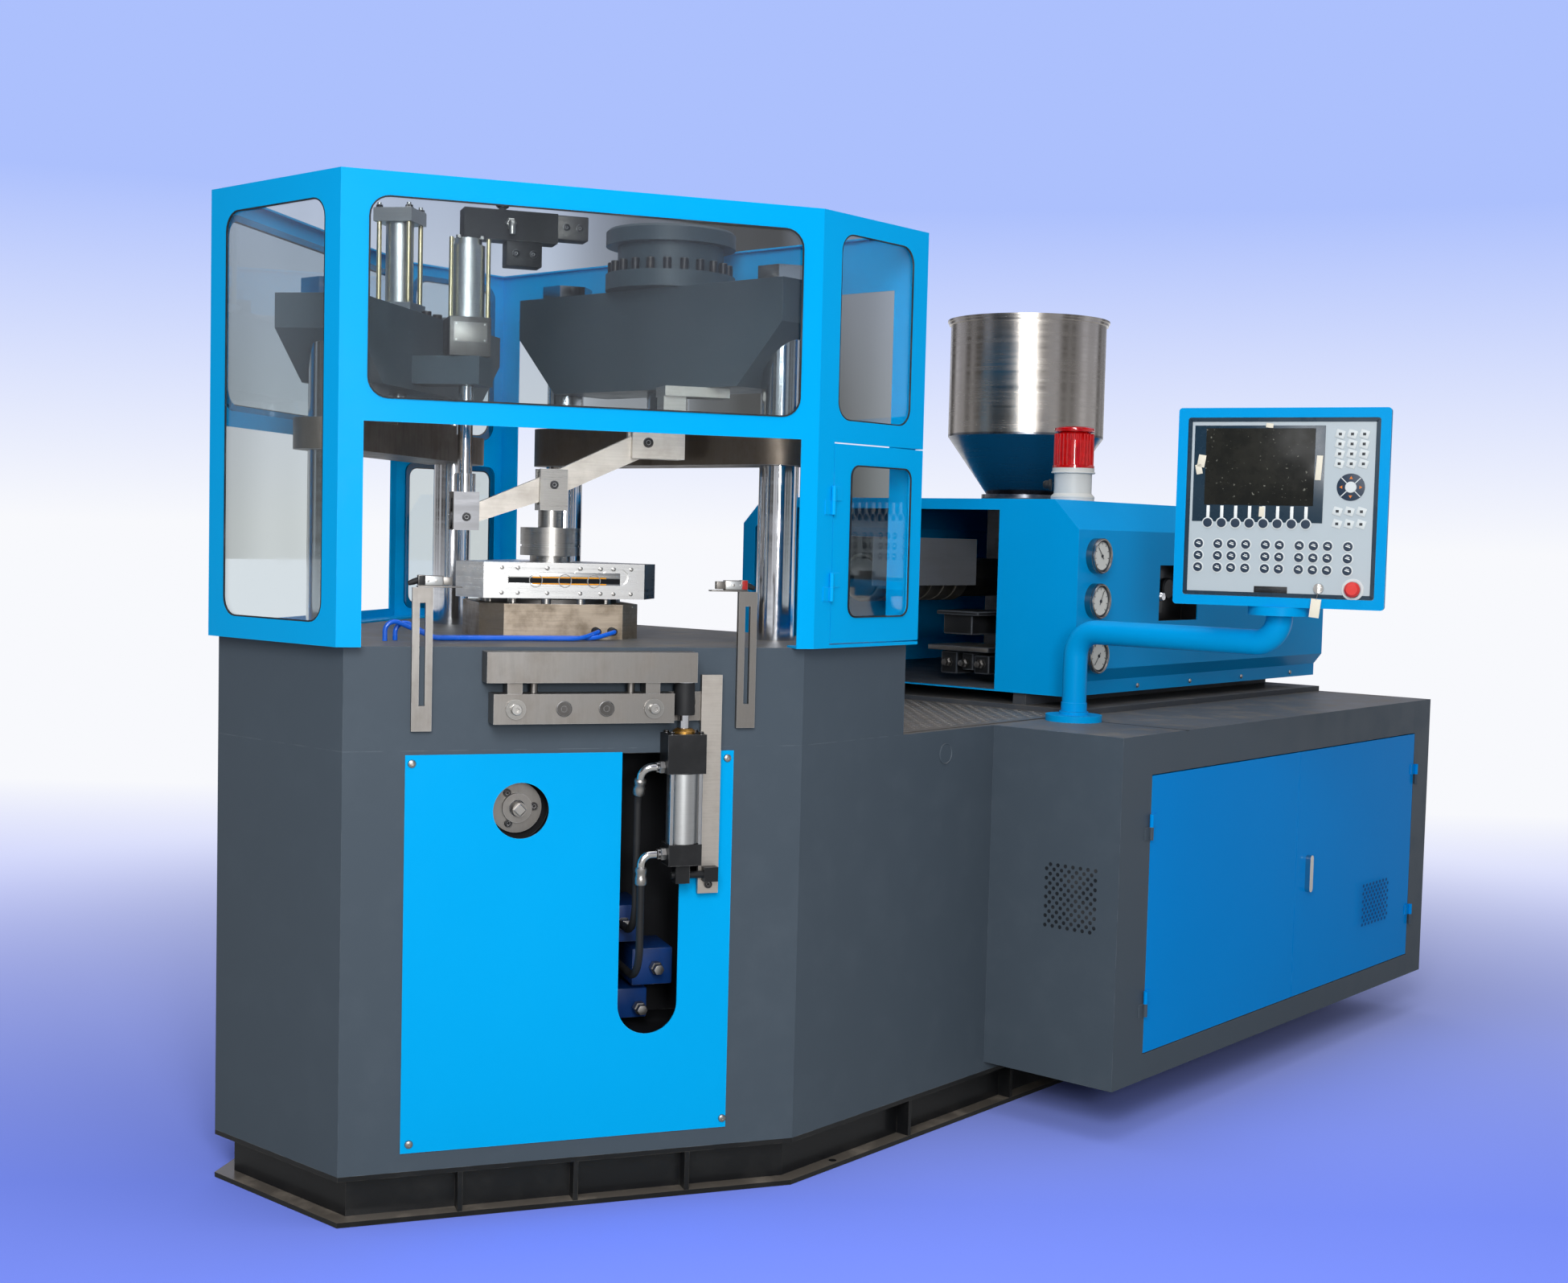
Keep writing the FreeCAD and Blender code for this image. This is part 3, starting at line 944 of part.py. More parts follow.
cylinderBlank = join("cylinder_blank", [
    block("cylinder_head", headX, "-cylinder_y - cylinder_depth", "cylinder_head_z",
          "2 * cylinder_head_half", "2 * cylinder_depth", "cylinder_head_high", face),
    drum("cylinder_tube", "cylinder_x", "-cylinder_y", f"{barrelLow} - 1", "cylinder_barrel",
         "cylinder_barrel_long + 2", face),
    block("cylinder_tail", tailX, "-cylinder_y - cylinder_depth", f"{barrelLow} - tail_high",
          "2 * tail_half", "2 * cylinder_depth", "tail_high", face),
    block("cylinder_eye", "cylinder_x - eye_half", "-cylinder_y - eye_half",
          f"{barrelLow} - tail_high - eye_drop", "2 * eye_half", "2 * eye_half", "eye_drop + 1", face),
    drum("cylinder_pin", "cylinder_x - eye_half - 6", "-cylinder_y", eyePinZ, "eye_half / 2",
         "cylinder_head_half + eye_half + 6 + bracket_width / 2", face, "x"),
    block("eye_lug", f"{barX} + bracket_width / 2 - eye_half", "-cylinder_y - eye_half / 2 - 2",
          f"{eyePinZ} - eye_half", "2 * eye_half",
          "cylinder_y + eye_half / 2 + 2 - stripper_back - 2 * bracket_thick - seat_gap",
          "2 * eye_half", face),
    drum("head_fitting", f"{headX} - fitting_length", "-cylinder_y", "port_high_z",
         "hose_radius + 2", "fitting_length + 1", face, "x"),
    drum("tail_fitting", f"{tailX} - fitting_length", "-cylinder_y", "port_low_z",
         "hose_radius + 2", "fitting_length + 1", face, "x")])
keep("stripper_cylinder", carve("stripper_cylinder", cylinderBlank, [
    drum("cylinder_bore", "cylinder_x", "-cylinder_y", f"{cylinderTop} - strip_rod_deep - 10",
         "strip_rod_radius + slide_gap", "strip_rod_deep + 11", face)]))
keep("stripper_rod", join("stripper_rod", [
    drum("strip_rod", "cylinder_x", "-cylinder_y", f"{cylinderTop} - strip_rod_deep",
         "strip_rod_radius", f"sleeve_z - {cylinderTop} + strip_rod_deep + 1", face),
    drum("strip_sleeve", "cylinder_x", "-cylinder_y", "sleeve_z", "sleeve_radius",
         f"{spacerTop} - sleeve_z", face)]))
keep("stripper_bracket", block("stripper_bracket", barX,
                               "-stripper_back - 2 * bracket_thick", "bracket_low",
                               "bracket_width", "bracket_thick", "bracket_high - bracket_low", face))
hoseEnd = "chamber_depth - seat_gap"
headStart, tailStart = f"{headX} - fitting_length", f"{tailX} - fitting_length"
headBack = "hose_tuck - cylinder_y"
hoses = [
    stand(tube("head_hose", [
        (headStart, "-cylinder_y", "port_high_z"), ("hose_x - 2", "-cylinder_y", "port_high_z"),
        ("hose_x - 2", headBack, "port_high_z - hose_step"), ("hose_x - 2", headBack, "head_hose_low"),
        ("hose_x - 2", hoseEnd, "head_hose_low")],
        (amount("hose_bend"), amount("hose_shallow"), amount("hose_sweep")), "hose_radius"), frame=face),
    stand(tube("tail_hose", [
        (tailStart, "-cylinder_y", "port_low_z"), ("hose_x", "-cylinder_y", "port_low_z"),
        ("hose_x", "-cylinder_y", "tail_hose_low"), ("hose_x", hoseEnd, "tail_hose_low")],
        (amount("hose_bend"), amount("hose_sweep")), "hose_radius"), frame=face)]
keep("stripper_hoses", bundle("stripper_hoses", hoses))

# ---- sensor bars on the band's face and the air hoses on the table
bars = []
for tag in ("sensor_left", "sensor_right"):
    bars.append(carve(f"{tag}_bar", block(
        f"{tag}_blank", f"{tag} - sensor_half", "-sensor_thick", "sensor_low", "2 * sensor_half",
        "sensor_thick", "sensor_high - sensor_low", face), [
        block(f"{tag}_slot", f"{tag} - sensor_slot", "-sensor_thick - 1", "sensor_low + 50",
              "2 * sensor_slot", "sensor_thick + 2", "sensor_high - sensor_low - 80", face)]))
keep("sensor_brackets", bundle("sensor_brackets", bars))
floorZ = f"({tableTop} + air_radius + 1)"
airHoses = []
for k in (0, 1):
    startX = f"-air_from - air_spread * {k}"
    start = f"(-index_base_depth - air_lead - air_spread * {k})"
    endX = f"(air_port - air_port_pitch * {k})"
    airHoses.append(stand(tube(f"air_hose{k}", [
        (startX, start, f"{tableTop} + seat_gap"), (startX, start, f"{tableTop} + air_rise"),
        ("-air_first", f"{start} + air_bow", floorZ), ("-air_second", f"{start} + air_climb", floorZ),
        (f"{endX} - air_run", f"{start} + air_bow", floorZ),
        (endX, "-index_base_depth - air_back", f"{floorZ} + air_climb"),
        (endX, "-index_base_depth - seat_gap", f"{floorZ} + air_climb")],
        [amount(name) for name in ("air_bend", "air_curve", "air_sweep", "air_turn", "air_climb")],
        "air_radius"), frame=turret))
keep("air_hoses", bundle("air_hoses", airHoses))


# ---- injection unit on the bed rails: housing, barrel, cover, hopper, beacon and gauges
def housingPoints(cut):
    halfX = f"(housing_half - {cut})"
    lowX = f"(housing_half - housing_step - {cut})"
    topX = f"(housing_half - housing_chamfer - {cut} * 0.414)"
    low, top = f"({housingLow} + {cut})", f"({housingTop} - {cut})"
    shoulderZ = f"({housingTop} - housing_chamfer - {cut} * 0.414)"
    stepLow, stepHigh = f"({housingLow} + housing_step_low)", f"({housingLow} + housing_step_high)"
    side = [(lowX, low), (lowX, stepLow), (halfX, stepHigh), (halfX, shoulderZ), (topX, top)]
    return side + [(f"-{x}", z) for x, z in reversed(side)]


outer = newBody("housing_block")
pad(outer, polygon(drawing(outer), housingPoints("0")), "housing_length")
stand(outer, "0", housingRear, "0", carriage, upright)
innerSpace = newBody("housing_space")
pad(innerSpace, polygon(drawing(innerSpace), housingPoints("housing_wall")),
    "housing_length - 2 * housing_wall")
stand(innerSpace, "0", f"{housingRear} - housing_wall", "0", carriage, upright)
portal = newBody("portal_cut")
portalLow = f"({housingLow} + housing_wall)"
pad(portal, polygon(drawing(portal), [
    ("-portal_left", portalLow), ("portal_right", portalLow), ("portal_right", "portal_high"),
    ("-portal_left + portal_chamfer", "portal_high"),
    ("-portal_left", "portal_high - portal_chamfer")]), "housing_wall + 4")
stand(portal, "0", "-housing_lead + housing_wall + 2", "0", carriage, upright)
keep("injection_housing", carve("injection_housing", outer, [
    innerSpace, portal,
    block("side_cut", "housing_half - housing_wall - 2", "side_cut_front", "side_cut_low",
          "housing_wall + 4", "side_cut_back - side_cut_front", "side_cut_high - side_cut_low",
          carriage),
    block("throat_cut", "-throat_half - seat_gap", "hopper_y - throat_half - seat_gap",
          f"{housingTop} - housing_wall - 2", "2 * throat_half + 2 * seat_gap",
          "2 * throat_half + 2 * seat_gap", "housing_wall + 4", carriage)]))
floorTop = f"({housingLow} + housing_wall)"
nozzle = made("Part::Cone", "nozzle_cone")
nozzle.setExpression("Radius1", tied("nozzle_radius"))
nozzle.setExpression("Radius2", tied("barrel_radius"))
nozzle.setExpression("Height", tied("nozzle_length"))
stand(nozzle, "0", "-barrel_front - nozzle_length", "barrel_z", carriage, alongY)
keep("injection_barrel", join("injection_barrel", [
    nozzle,
    drum("nozzle_tip", "0", "-barrel_front - nozzle_length - 24", "barrel_z", "nozzle_radius", "26",
         carriage, "y"),
    drum("barrel_tube", "0", "-barrel_front", "barrel_z", "barrel_radius",
         "barrel_front + barrel_back + 1", carriage, "y"),
    block("throat", "-throat_half", "hopper_y - throat_half", floorTop, "2 * throat_half",
          "2 * throat_half", f"{housingTop} - {floorTop} + 1", carriage),
    drum("throat_flange", "0", "hopper_y", housingTop, "throat_plate", "throat_plate_thick",
         carriage),
    block("gearbox", "-gearbox_half", "barrel_back", "gearbox_low", "2 * gearbox_half",
          "gearbox_length", "gearbox_high - gearbox_low", carriage),
    block("gearbox_foot", "-gearbox_half + 30", "barrel_back + 40", floorTop,
          "2 * gearbox_half - 60", "gearbox_length - 80", f"gearbox_low - {floorTop} + 1", carriage),
    drum("screw_motor", "0", "barrel_back + gearbox_length - 1", "barrel_z", "motor_radius",
         "motor_length + 1", carriage, "y")]))
coverSheet = carve("cover_sheet", block(
    "cover_block", "-cover_half", "-cover_front", "cover_low", "2 * cover_half",
    "cover_front + cover_back", "cover_high - cover_low", carriage), [
    block("cover_space", "-cover_half + cover_sheet", "-cover_front - 1", "cover_low - 1",
          "2 * cover_half - 2 * cover_sheet", "cover_front + cover_back + 2",
          "cover_high - cover_low - cover_sheet + 1", carriage)])
coverPins = [drum(f"cover_pin{k}", "0", y, "barrel_z + barrel_radius", "cover_pin",
                  "cover_high - barrel_z - barrel_radius - 1", carriage)
             for k, y in enumerate(("-barrel_front + 50", "cover_back - 50"))]
keep("barrel_cover", join("barrel_cover", [coverSheet] + coverPins))
hopperLow = f"({housingTop} + throat_plate_thick)"
skin = "hopper_wall"
keep("hopper", turned("hopper", [
    (f"hopper_outlet - {skin}", "0"), ("throat_plate", "0"), ("throat_plate", "hopper_flange"),
    ("hopper_outlet", "hopper_flange"), ("hopper_radius", "hopper_cone"),
    ("hopper_radius", "hopper_height - hopper_rim_height"),
    ("hopper_rim", "hopper_height - hopper_rim_height"), ("hopper_rim", "hopper_height"),
    (f"hopper_radius - {skin}", "hopper_height"), (f"hopper_radius - {skin}", "hopper_cone + 1"),
    (f"hopper_outlet - {skin}", "hopper_flange + 2")], "0", "hopper_y", hopperLow, carriage))
keep("hopper_lid", turned("hopper_lid", [
    ("0", "0"), ("lid_radius", "0"), ("lid_radius", "lid_thick"), ("knob_radius", "lid_thick"),
    ("knob_radius", "lid_thick + knob_height - 4"), ("knob_radius - 4", "lid_thick + knob_height"),
    ("0", "lid_thick + knob_height")], "0", "hopper_y", f"{hopperLow} + hopper_height", carriage))
keep("beacon_base", turned("beacon_base", [
    ("0", "0"), ("beacon_radius", "0"), ("beacon_radius", "12"), ("lens_radius", "20"),
    ("lens_radius", "beacon_height - 12"), ("beacon_radius - 2", "beacon_height - 12"),
    ("beacon_radius - 2", "beacon_height"), ("0", "beacon_height")],
    "beacon_x", "beacon_y", housingTop, carriage))
keep("beacon_lens", turned("beacon_lens", [
    ("0", "0"), ("lens_radius", "0"), ("lens_radius", "lens_height * 0.7"),
    ("lens_radius * 0.92", "lens_height * 0.86"), ("lens_radius * 0.7", "lens_height * 0.96"),
    ("0", "lens_height")], "beacon_x", "beacon_y", f"{housingTop} + beacon_height", carriage))
dials = []
for tag in ("gauge_high", "gauge_mid", "gauge_low"):
    dials.append(turned(f"{tag}_dial", [
        ("0", "0"), ("gauge_radius", "0"), ("gauge_radius", "gauge_depth - 2"),
        ("gauge_radius - 3", "gauge_depth"), ("gauge_radius - 5", "gauge_depth - 3"),
        ("0", "gauge_depth - 3")], "housing_half", "-gauge_y", tag, carriage, "x"))
keep("gauges", bundle("gauges", dials))

# ---- terminal arm: flange on the cabinet, swivelling pipe, terminal box with its face and buttons
hubTop = f"({bodyTop} + arm_hub_height)"
keep("arm_flange", turned("arm_flange", [
    ("0", "0"), ("arm_flange_radius", "0"), ("arm_flange_radius", "arm_flange_thick"),
    ("arm_hub_radius", "arm_flange_thick"), ("arm_hub_radius", "arm_hub_height"),
    ("spigot_radius", "arm_hub_height"), ("spigot_radius", "arm_hub_height + spigot_height"),
    ("0", "arm_hub_height + spigot_height")], z=bodyTop, frame=armBase))
pipeFoot = f"({hubTop} + seat_gap)"
pipeTop = f"({hubTop} + pipe_rise)"
swivelLow = f"({pipeTop} + swivel_rise)"
reachX = "terminal_x - arm_x"
reachY = "arm_lead - terminal_lead"
pipe = stand(tube("pipe_run", [
    (0, 0, pipeFoot), (0, 0, pipeTop), (reachX, reachY, pipeTop), (reachX, reachY, f"{swivelLow} + 1")],
    (amount("pipe_bend"), amount("pipe_bend")), "pipe_radius"), frame=armBase)
pipeBlank = join("pipe_blank", [
    pipe, drum("pipe_collar", "0", "0", pipeFoot, "arm_hub_radius - 4", "22", armBase),
    drum("swivel_plate", reachX, reachY, swivelLow, "swivel_radius", "swivel_thick", armBase)])
keep("arm_pipe", carve("arm_pipe", pipeBlank, [
    drum("pipe_socket", "0", "0", f"{pipeFoot} - 1", "spigot_radius + pin_gap",
         "spigot_height + 2", armBase)]))
boxLow = f"({swivelLow} + swivel_thick + seat_gap)"
faceDeep = "terminal_depth - terminal_recess"
box = newBody("terminal_box")
frameBack = "terminal_depth - terminal_frame"
pad(box, rounded(drawing(box), "-terminal_half + terminal_inset", "0",
                 "terminal_half - terminal_inset", "terminal_height - terminal_inset", "8"), frameBack)
pad(box, rounded(drawing(box, lift=frameBack), "-terminal_half", "0", "terminal_half",
                 "terminal_height", "8"), "terminal_frame")
pocket(box, rounded(drawing(box, lift="terminal_depth"), "-terminal_half + terminal_border",
                    "terminal_border", "terminal_half - terminal_border",
                    "terminal_height - terminal_border", "6"), "terminal_recess", False)
for x in ("stop_x", "key_x"):
    pocket(box, circle(drawing(box, lift=faceDeep), x, "button_z", "stop_stem + 3"),
           "button_room", False)
keep("hmi_box", stand(box, "0", "terminal_depth / 2", boxLow, terminal, upright))
plate = newBody("hmi_panel")
pad(plate, rounded(drawing(plate), "-terminal_half + terminal_border + seat_gap",
                   "terminal_border + seat_gap", "terminal_half - terminal_border - seat_gap",
                   "terminal_height - terminal_border - seat_gap", "6"), "terminal_plate")
for x in ("stop_x", "key_x"):
    pocket(plate, circle(drawing(plate), x, "button_z", "stop_stem + slide_gap"), "terminal_plate")
plateBack = "(-terminal_depth / 2 + terminal_recess)"
keep("hmi_panel", stand(plate, "0", plateBack, boxLow, terminal, upright))
stemBack = f"{plateBack} + button_room / 2"
stemFront = "button_room / 2 + terminal_plate"
keep("stop_button", turned("stop_button", [
    ("0", "0"), ("stop_stem", "0"), ("stop_stem", f"{stemFront} + stop_stand"),
    ("stop_cap", f"{stemFront} + stop_stand"),
    ("stop_cap", f"{stemFront} + stop_stand + stop_cap_thick * 0.6"),
    ("stop_cap - 5", f"{stemFront} + stop_stand + stop_cap_thick"),
    ("0", f"{stemFront} + stop_stand + stop_cap_thick")],
    "stop_x", stemBack, f"{boxLow} + button_z", terminal, "out"))
keyFront = f"{stemFront} + key_stand"
keep("key_switch", join("key_switch", [
    drum("key_barrel", "key_x", stemBack, f"{boxLow} + button_z", "key_radius", keyFront, terminal,
         "out"),
    block("key_blade", "key_x - key_thick / 2", f"{stemBack} - ({keyFront}) - key_long",
          f"{boxLow} + button_z - key_radius", "key_thick", "key_long + 1", "2 * key_radius",
          terminal)]))

doc.recompute()
faults = [item.Name for item in doc.Objects if "Invalid" in item.State or "Error" in item.State]
for name, item in nodes.items():
    if item.Shape.isNull() or not item.Shape.isValid() or item.Shape.Volume <= 0:
        faults.append(name)
if faults:
    raise RuntimeError("faulty: " + ", ".join(faults))
os.makedirs("parts", exist_ok=True)
for name, item in nodes.items():
    item.Shape.exportStep(f"parts/{name}.step")
print(len(nodes), "nodes", len(doc.Objects), "objects")
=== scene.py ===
import math

import bmesh
import bpy
from mathutils import Matrix, Vector


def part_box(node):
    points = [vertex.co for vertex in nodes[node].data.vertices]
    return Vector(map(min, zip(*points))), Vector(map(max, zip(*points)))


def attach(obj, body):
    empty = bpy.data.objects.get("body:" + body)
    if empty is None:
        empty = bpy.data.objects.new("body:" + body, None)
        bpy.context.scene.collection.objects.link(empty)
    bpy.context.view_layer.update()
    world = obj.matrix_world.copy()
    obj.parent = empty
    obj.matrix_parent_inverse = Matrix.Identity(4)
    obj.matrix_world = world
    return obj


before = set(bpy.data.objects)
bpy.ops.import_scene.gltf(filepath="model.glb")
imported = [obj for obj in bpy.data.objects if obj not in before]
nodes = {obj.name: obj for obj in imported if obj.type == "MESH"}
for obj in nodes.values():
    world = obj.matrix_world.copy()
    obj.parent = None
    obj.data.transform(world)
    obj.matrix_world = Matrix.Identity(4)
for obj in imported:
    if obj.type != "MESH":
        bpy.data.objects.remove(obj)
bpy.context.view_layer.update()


# places
def place(x, y, z=0.0, turn=0.0):
    return Matrix.Translation((x, y, z)) @ Matrix.Rotation(math.radians(turn), 4, "Z")


machinePlace = place(0, 0)
facePlace = place(0.45375, -1.6765, 0, 60)      # front panel: x along it, -y outwards
turretPlace = place(0.1, -1.45, 0, 60)          # index axis, -y towards the stripping side
injectPlace = place(0.1, -1.45)                 # index axis, +y towards the injection side
blowPlace = place(0.1, -1.45, 0, 120)           # index axis, +y towards the blowing side
sidePlace = place(0.6925, 0, 0, 90)             # right side of the body: x along the machine
cabinetPlace = place(1.0495, 0, 0, 90)          # cabinet doors: x along the machine, -y outwards
housingPlace = place(0.676, 0, 0, 90)           # right side of the injection housing
terminalPlace = place(1.298, -0.290, 0, 17)     # operating terminal, -y towards the person at it
blowFace = place(-0.45375, -1.6765, 0, -60)     # the other slanting front, on the blowing side
leftPlace = place(-0.6925, 0, 0, -90)           # left side of the body
guardSide = place(0.7245, 0, 0, 90)             # right side of the guard
out = (0, -1, 0)
up = (0, 0, 1)


def moved(at, x, y, z=0.0):
    return at @ Matrix.Translation((x, y, z))


def pointing(x, y, z, direction, at=machinePlace):
    # a place whose +z points along a direction
    turn = Vector(direction).to_track_quat("Z", "Y").to_matrix().to_4x4()
    return at @ Matrix.Translation((x, y, z)) @ turn


# node helpers
def setInputs(tree, node, values):
    # links a socket and sets a plain value
    for key, value in values.items():
        if isinstance(value, bpy.types.NodeSocket):
            tree.links.new(value, node.inputs[key])
        else:
            node.inputs[key].default_value = value


def addNode(tree, kind, values=None, output=0, **settings):
    # gives back one output of a new node
    made = tree.nodes.new(kind)
    for key, value in settings.items():
        setattr(made, key, value)
    setInputs(tree, made, values or {})
    return made.outputs[output]


def srgb(red, green, blue):
    def straight(part):
        part = part / 255
        return part / 12.92 if part <= 0.04045 else ((part + 0.055) / 1.055) ** 2.4
    return (straight(red), straight(green), straight(blue), 1.0)


def newGroup(name, kind, inputs, outputs):
    group = bpy.data.node_groups.new(name, kind)
    for label, socketKind, value in inputs:
        socket = group.interface.new_socket(label, in_out="INPUT", socket_type="NodeSocket" + socketKind)
        if value is not None:
            socket.default_value = value
    for label, socketKind in outputs:
        group.interface.new_socket(label, in_out="OUTPUT", socket_type="NodeSocket" + socketKind)
    return group, group.nodes.new("NodeGroupInput").outputs, group.nodes.new("NodeGroupOutput")


def ramp(tree, factor, low, high, kind="LINEAR"):
    return addNode(tree, "ShaderNodeMapRange", {"Value": factor, "From Min": low, "From Max": high},
                   "Result", interpolation_type=kind)


def maths(tree, first, second, operation="MULTIPLY"):
    return addNode(tree, "ShaderNodeMath", {0: first, 1: second}, operation=operation)


def mixColours(tree, factor, first, second, blend="MIX"):
    return addNode(tree, "ShaderNodeMix", {0: factor, 6: first, 7: second}, 2, data_type="RGBA",
                   blend_type=blend)


def noise(tree, vector, scale, detail=3.0, rough=0.5):
    return addNode(tree, "ShaderNodeTexNoise", {"Vector": vector, "Scale": scale, "Detail": detail,
                   "Roughness": rough}, "Fac")


def ownSpot(tree):
    return addNode(tree, "ShaderNodeTexCoord", output="Object")


def heightOf(tree, vector):
    return addNode(tree, "ShaderNodeSeparateXYZ", {0: vector}, "Z")


def bumped(tree, height, strength, depth):
    return addNode(tree, "ShaderNodeBump", {"Strength": strength, "Distance": depth, "Height": height})


def edgeMask(tree, flat, radius, high):
    # one at edges, where a bevelled normal leaves the flat one
    rim = addNode(tree, "ShaderNodeBevel", {"Radius": radius}, samples=4)
    facing = addNode(tree, "ShaderNodeVectorMath", {0: rim, 1: flat}, "Value", operation="DOT_PRODUCT")
    return ramp(tree, maths(tree, 1.0, facing, "SUBTRACT"), 0.02, high)


# paint and plastic: uneven tone, smears, worn edges partly lightened as painted highlight, settled dust and a
# fine skin
skinLook = {"broad": (1.7, 4), "cloud": (11, 8, 0.65), "fine": (420, 2), "chips": (26, 5), "rim": 0.002,
            "paler": (1.25, 1.25, 1.25, 1), "dust": srgb(122, 114, 104), "least": 0.55, "pits": -0.6}
surfaceGives = [("Colour", "Color"), ("Roughness", "Float"), ("Height", "Float")]
skin, given, gives = newGroup("paintedSkin", "ShaderNodeTree", [
    ("Colour", "Color", (0.5, 0.5, 0.5, 1)), ("Uneven", "Float", 0.08), ("Smears", "Float", 0.1),
    ("Smear colour", "Color", (0.3, 0.3, 0.3, 1)), ("Worn and lit edge colour", "Color", (0.5, 0.5, 0.5, 1)),
    ("Wear", "Float", 0.3), ("Gloss roughness", "Float", 0.35), ("Dust", "Float", 0.0)], surfaceGives)
spot = ownSpot(skin)
broad, cloud, fine, chips = (noise(skin, spot, *skinLook[key]) for key in ("broad", "cloud", "fine", "chips"))
paler = mixColours(skin, 1.0, given["Colour"], skinLook["paler"], "MULTIPLY")
toned = mixColours(skin, maths(skin, given["Uneven"], ramp(skin, broad, 0.35, 0.65)), given["Colour"], paler)
smear = maths(skin, given["Smears"], ramp(skin, cloud, 0.48, 0.72))
soiled = mixColours(skin, smear, toned, given["Smear colour"])
flat = addNode(skin, "ShaderNodeNewGeometry", output="Normal")
edge = edgeMask(skin, flat, skinLook["rim"], 0.14)
# edge patches: real wear, and on the blue paints partly painted highlight along the edges
wornAndLitEdges = maths(skin, maths(skin, edge, ramp(skin, chips, 0.42, 0.58)), given["Wear"])
level = maths(skin, ramp(skin, heightOf(skin, flat), 0.6, 0.95), given["Dust"])
settled = maths(skin, level, maths(skin, ramp(skin, cloud, 0.3, 0.65), skinLook["least"], "MAXIMUM"))
dusted = mixColours(skin, settled, soiled, skinLook["dust"])
rougher = maths(skin, maths(skin, smear, 0.5), maths(skin, ramp(skin, cloud, 0.3, 0.7), 0.06), "ADD")
setInputs(skin, gives, {"Colour": mixColours(skin, wornAndLitEdges, dusted, given["Worn and lit edge colour"]),
          "Roughness": maths(skin, given["Gloss roughness"], rougher, "ADD"),
          "Height": maths(skin, fine, maths(skin, wornAndLitEdges, skinLook["pits"]), "ADD")})

# machined metal: fine lines one way, stains and bright edges
grainLook = {"lines": (1.0, 5, 0.7), "patches": (14, 6, 0.6), "rim": 0.0015, "darker": (0.45, 0.45, 0.47, 1),
             "bright": (0.85, 0.85, 0.86, 1)}
grain, given, gives = newGroup("machinedGrain", "ShaderNodeTree", [
    ("Colour", "Color", (0.6, 0.6, 0.6, 1)), ("Stain colour", "Color", (0.3, 0.25, 0.2, 1)),
    ("Stains", "Float", 0.2), ("Lines", "Vector", (8, 8, 400)), ("Turn", "Vector", (0, 0, 0)),
    ("Streaks", "Float", 0.15), ("Bright edges", "Float", 0.4), ("Base roughness", "Float", 0.3)],
    surfaceGives)
spot = ownSpot(grain)
turned = addNode(grain, "ShaderNodeMapping", {"Vector": spot, "Rotation": given["Turn"],
                 "Scale": given["Lines"]}, vector_type="POINT")
lines = noise(grain, turned, *grainLook["lines"])
darker = mixColours(grain, 1.0, given["Colour"], grainLook["darker"], "MULTIPLY")
streaked = mixColours(grain, maths(grain, given["Streaks"], ramp(grain, lines, 0.3, 0.7)), given["Colour"],
                      darker)
stain = maths(grain, given["Stains"], ramp(grain, noise(grain, spot, *grainLook["patches"]), 0.44, 0.68))
stained = mixColours(grain, stain, streaked, given["Stain colour"])
flat = addNode(grain, "ShaderNodeNewGeometry", output="Normal")
edge = maths(grain, edgeMask(grain, flat, grainLook["rim"], 0.2), given["Bright edges"])
rougher = maths(grain, maths(grain, stain, 0.35), maths(grain, ramp(grain, lines, 0.3, 0.7), 0.12), "ADD")
setInputs(grain, gives, {"Colour": mixColours(grain, edge, stained, grainLook["bright"]),
          "Roughness": maths(grain, given["Base roughness"], rougher, "ADD"), "Height": lines})


def emptyMaterial(name):
    material = bpy.data.materials.new(name)
    material.use_nodes = True
    tree = material.node_tree
    tree.nodes.clear()
    shader = tree.nodes.new("ShaderNodeBsdfPrincipled")
    surface = tree.nodes.new("ShaderNodeOutputMaterial")
    tree.links.new(shader.outputs[0], surface.inputs["Surface"])
    return material, tree, shader


def surfaced(name, group, values, bumpStrength, bumpDepth, settings):
    # a material whose colour, roughness and bump come from a group; a colour of three is in 0 to 255
    material, tree, shader = emptyMaterial(name)
    made = tree.nodes.new("ShaderNodeGroup")
    made.node_tree = group
    setInputs(tree, made, {key: srgb(*value) if "colour" in key.lower() and len(value) == 3 else value
              for key, value in values.items()})
    setInputs(tree, shader, {"Base Color": made.outputs["Colour"], "Roughness": made.outputs["Roughness"],
              "Normal": bumped(tree, made.outputs["Height"], bumpStrength, bumpDepth), **settings})
    return material


def paint(name, colour, rough, uneven=0.10, smears=0.08, smear=(0.42, 0.42, 0.42, 1), wear=0.5,
          wornAndLitEdge=(0.45, 0.45, 0.45, 1), coat=0.0, bump=0.12, shine=0.3, dust=0.0):
    return surfaced(name, skin, {"Colour": colour, "Uneven": uneven, "Smear colour": smear, "Smears": smears,
                    "Worn and lit edge colour": wornAndLitEdge, "Wear": wear, "Gloss roughness": rough, "Dust": dust}, bump, 0.0002,
                    {"Specular IOR Level": shine, "Coat Weight": coat, "Coat Roughness": 0.12})


def metal(name, colour, rough, lines, streaks=0.25, stains=0.15, stain=(0.16, 0.13, 0.10, 1), edges=0.35,
          bump=0.08, turn=(0, 0, 0), metallic=1.0):
    return surfaced(name, grain, {"Colour": colour, "Stain colour": stain, "Stains": stains, "Lines": lines,
                    "Turn": turn, "Streaks": streaks, "Bright edges": edges, "Base roughness": rough}, bump,
                    0.0001, {"Metallic": metallic})
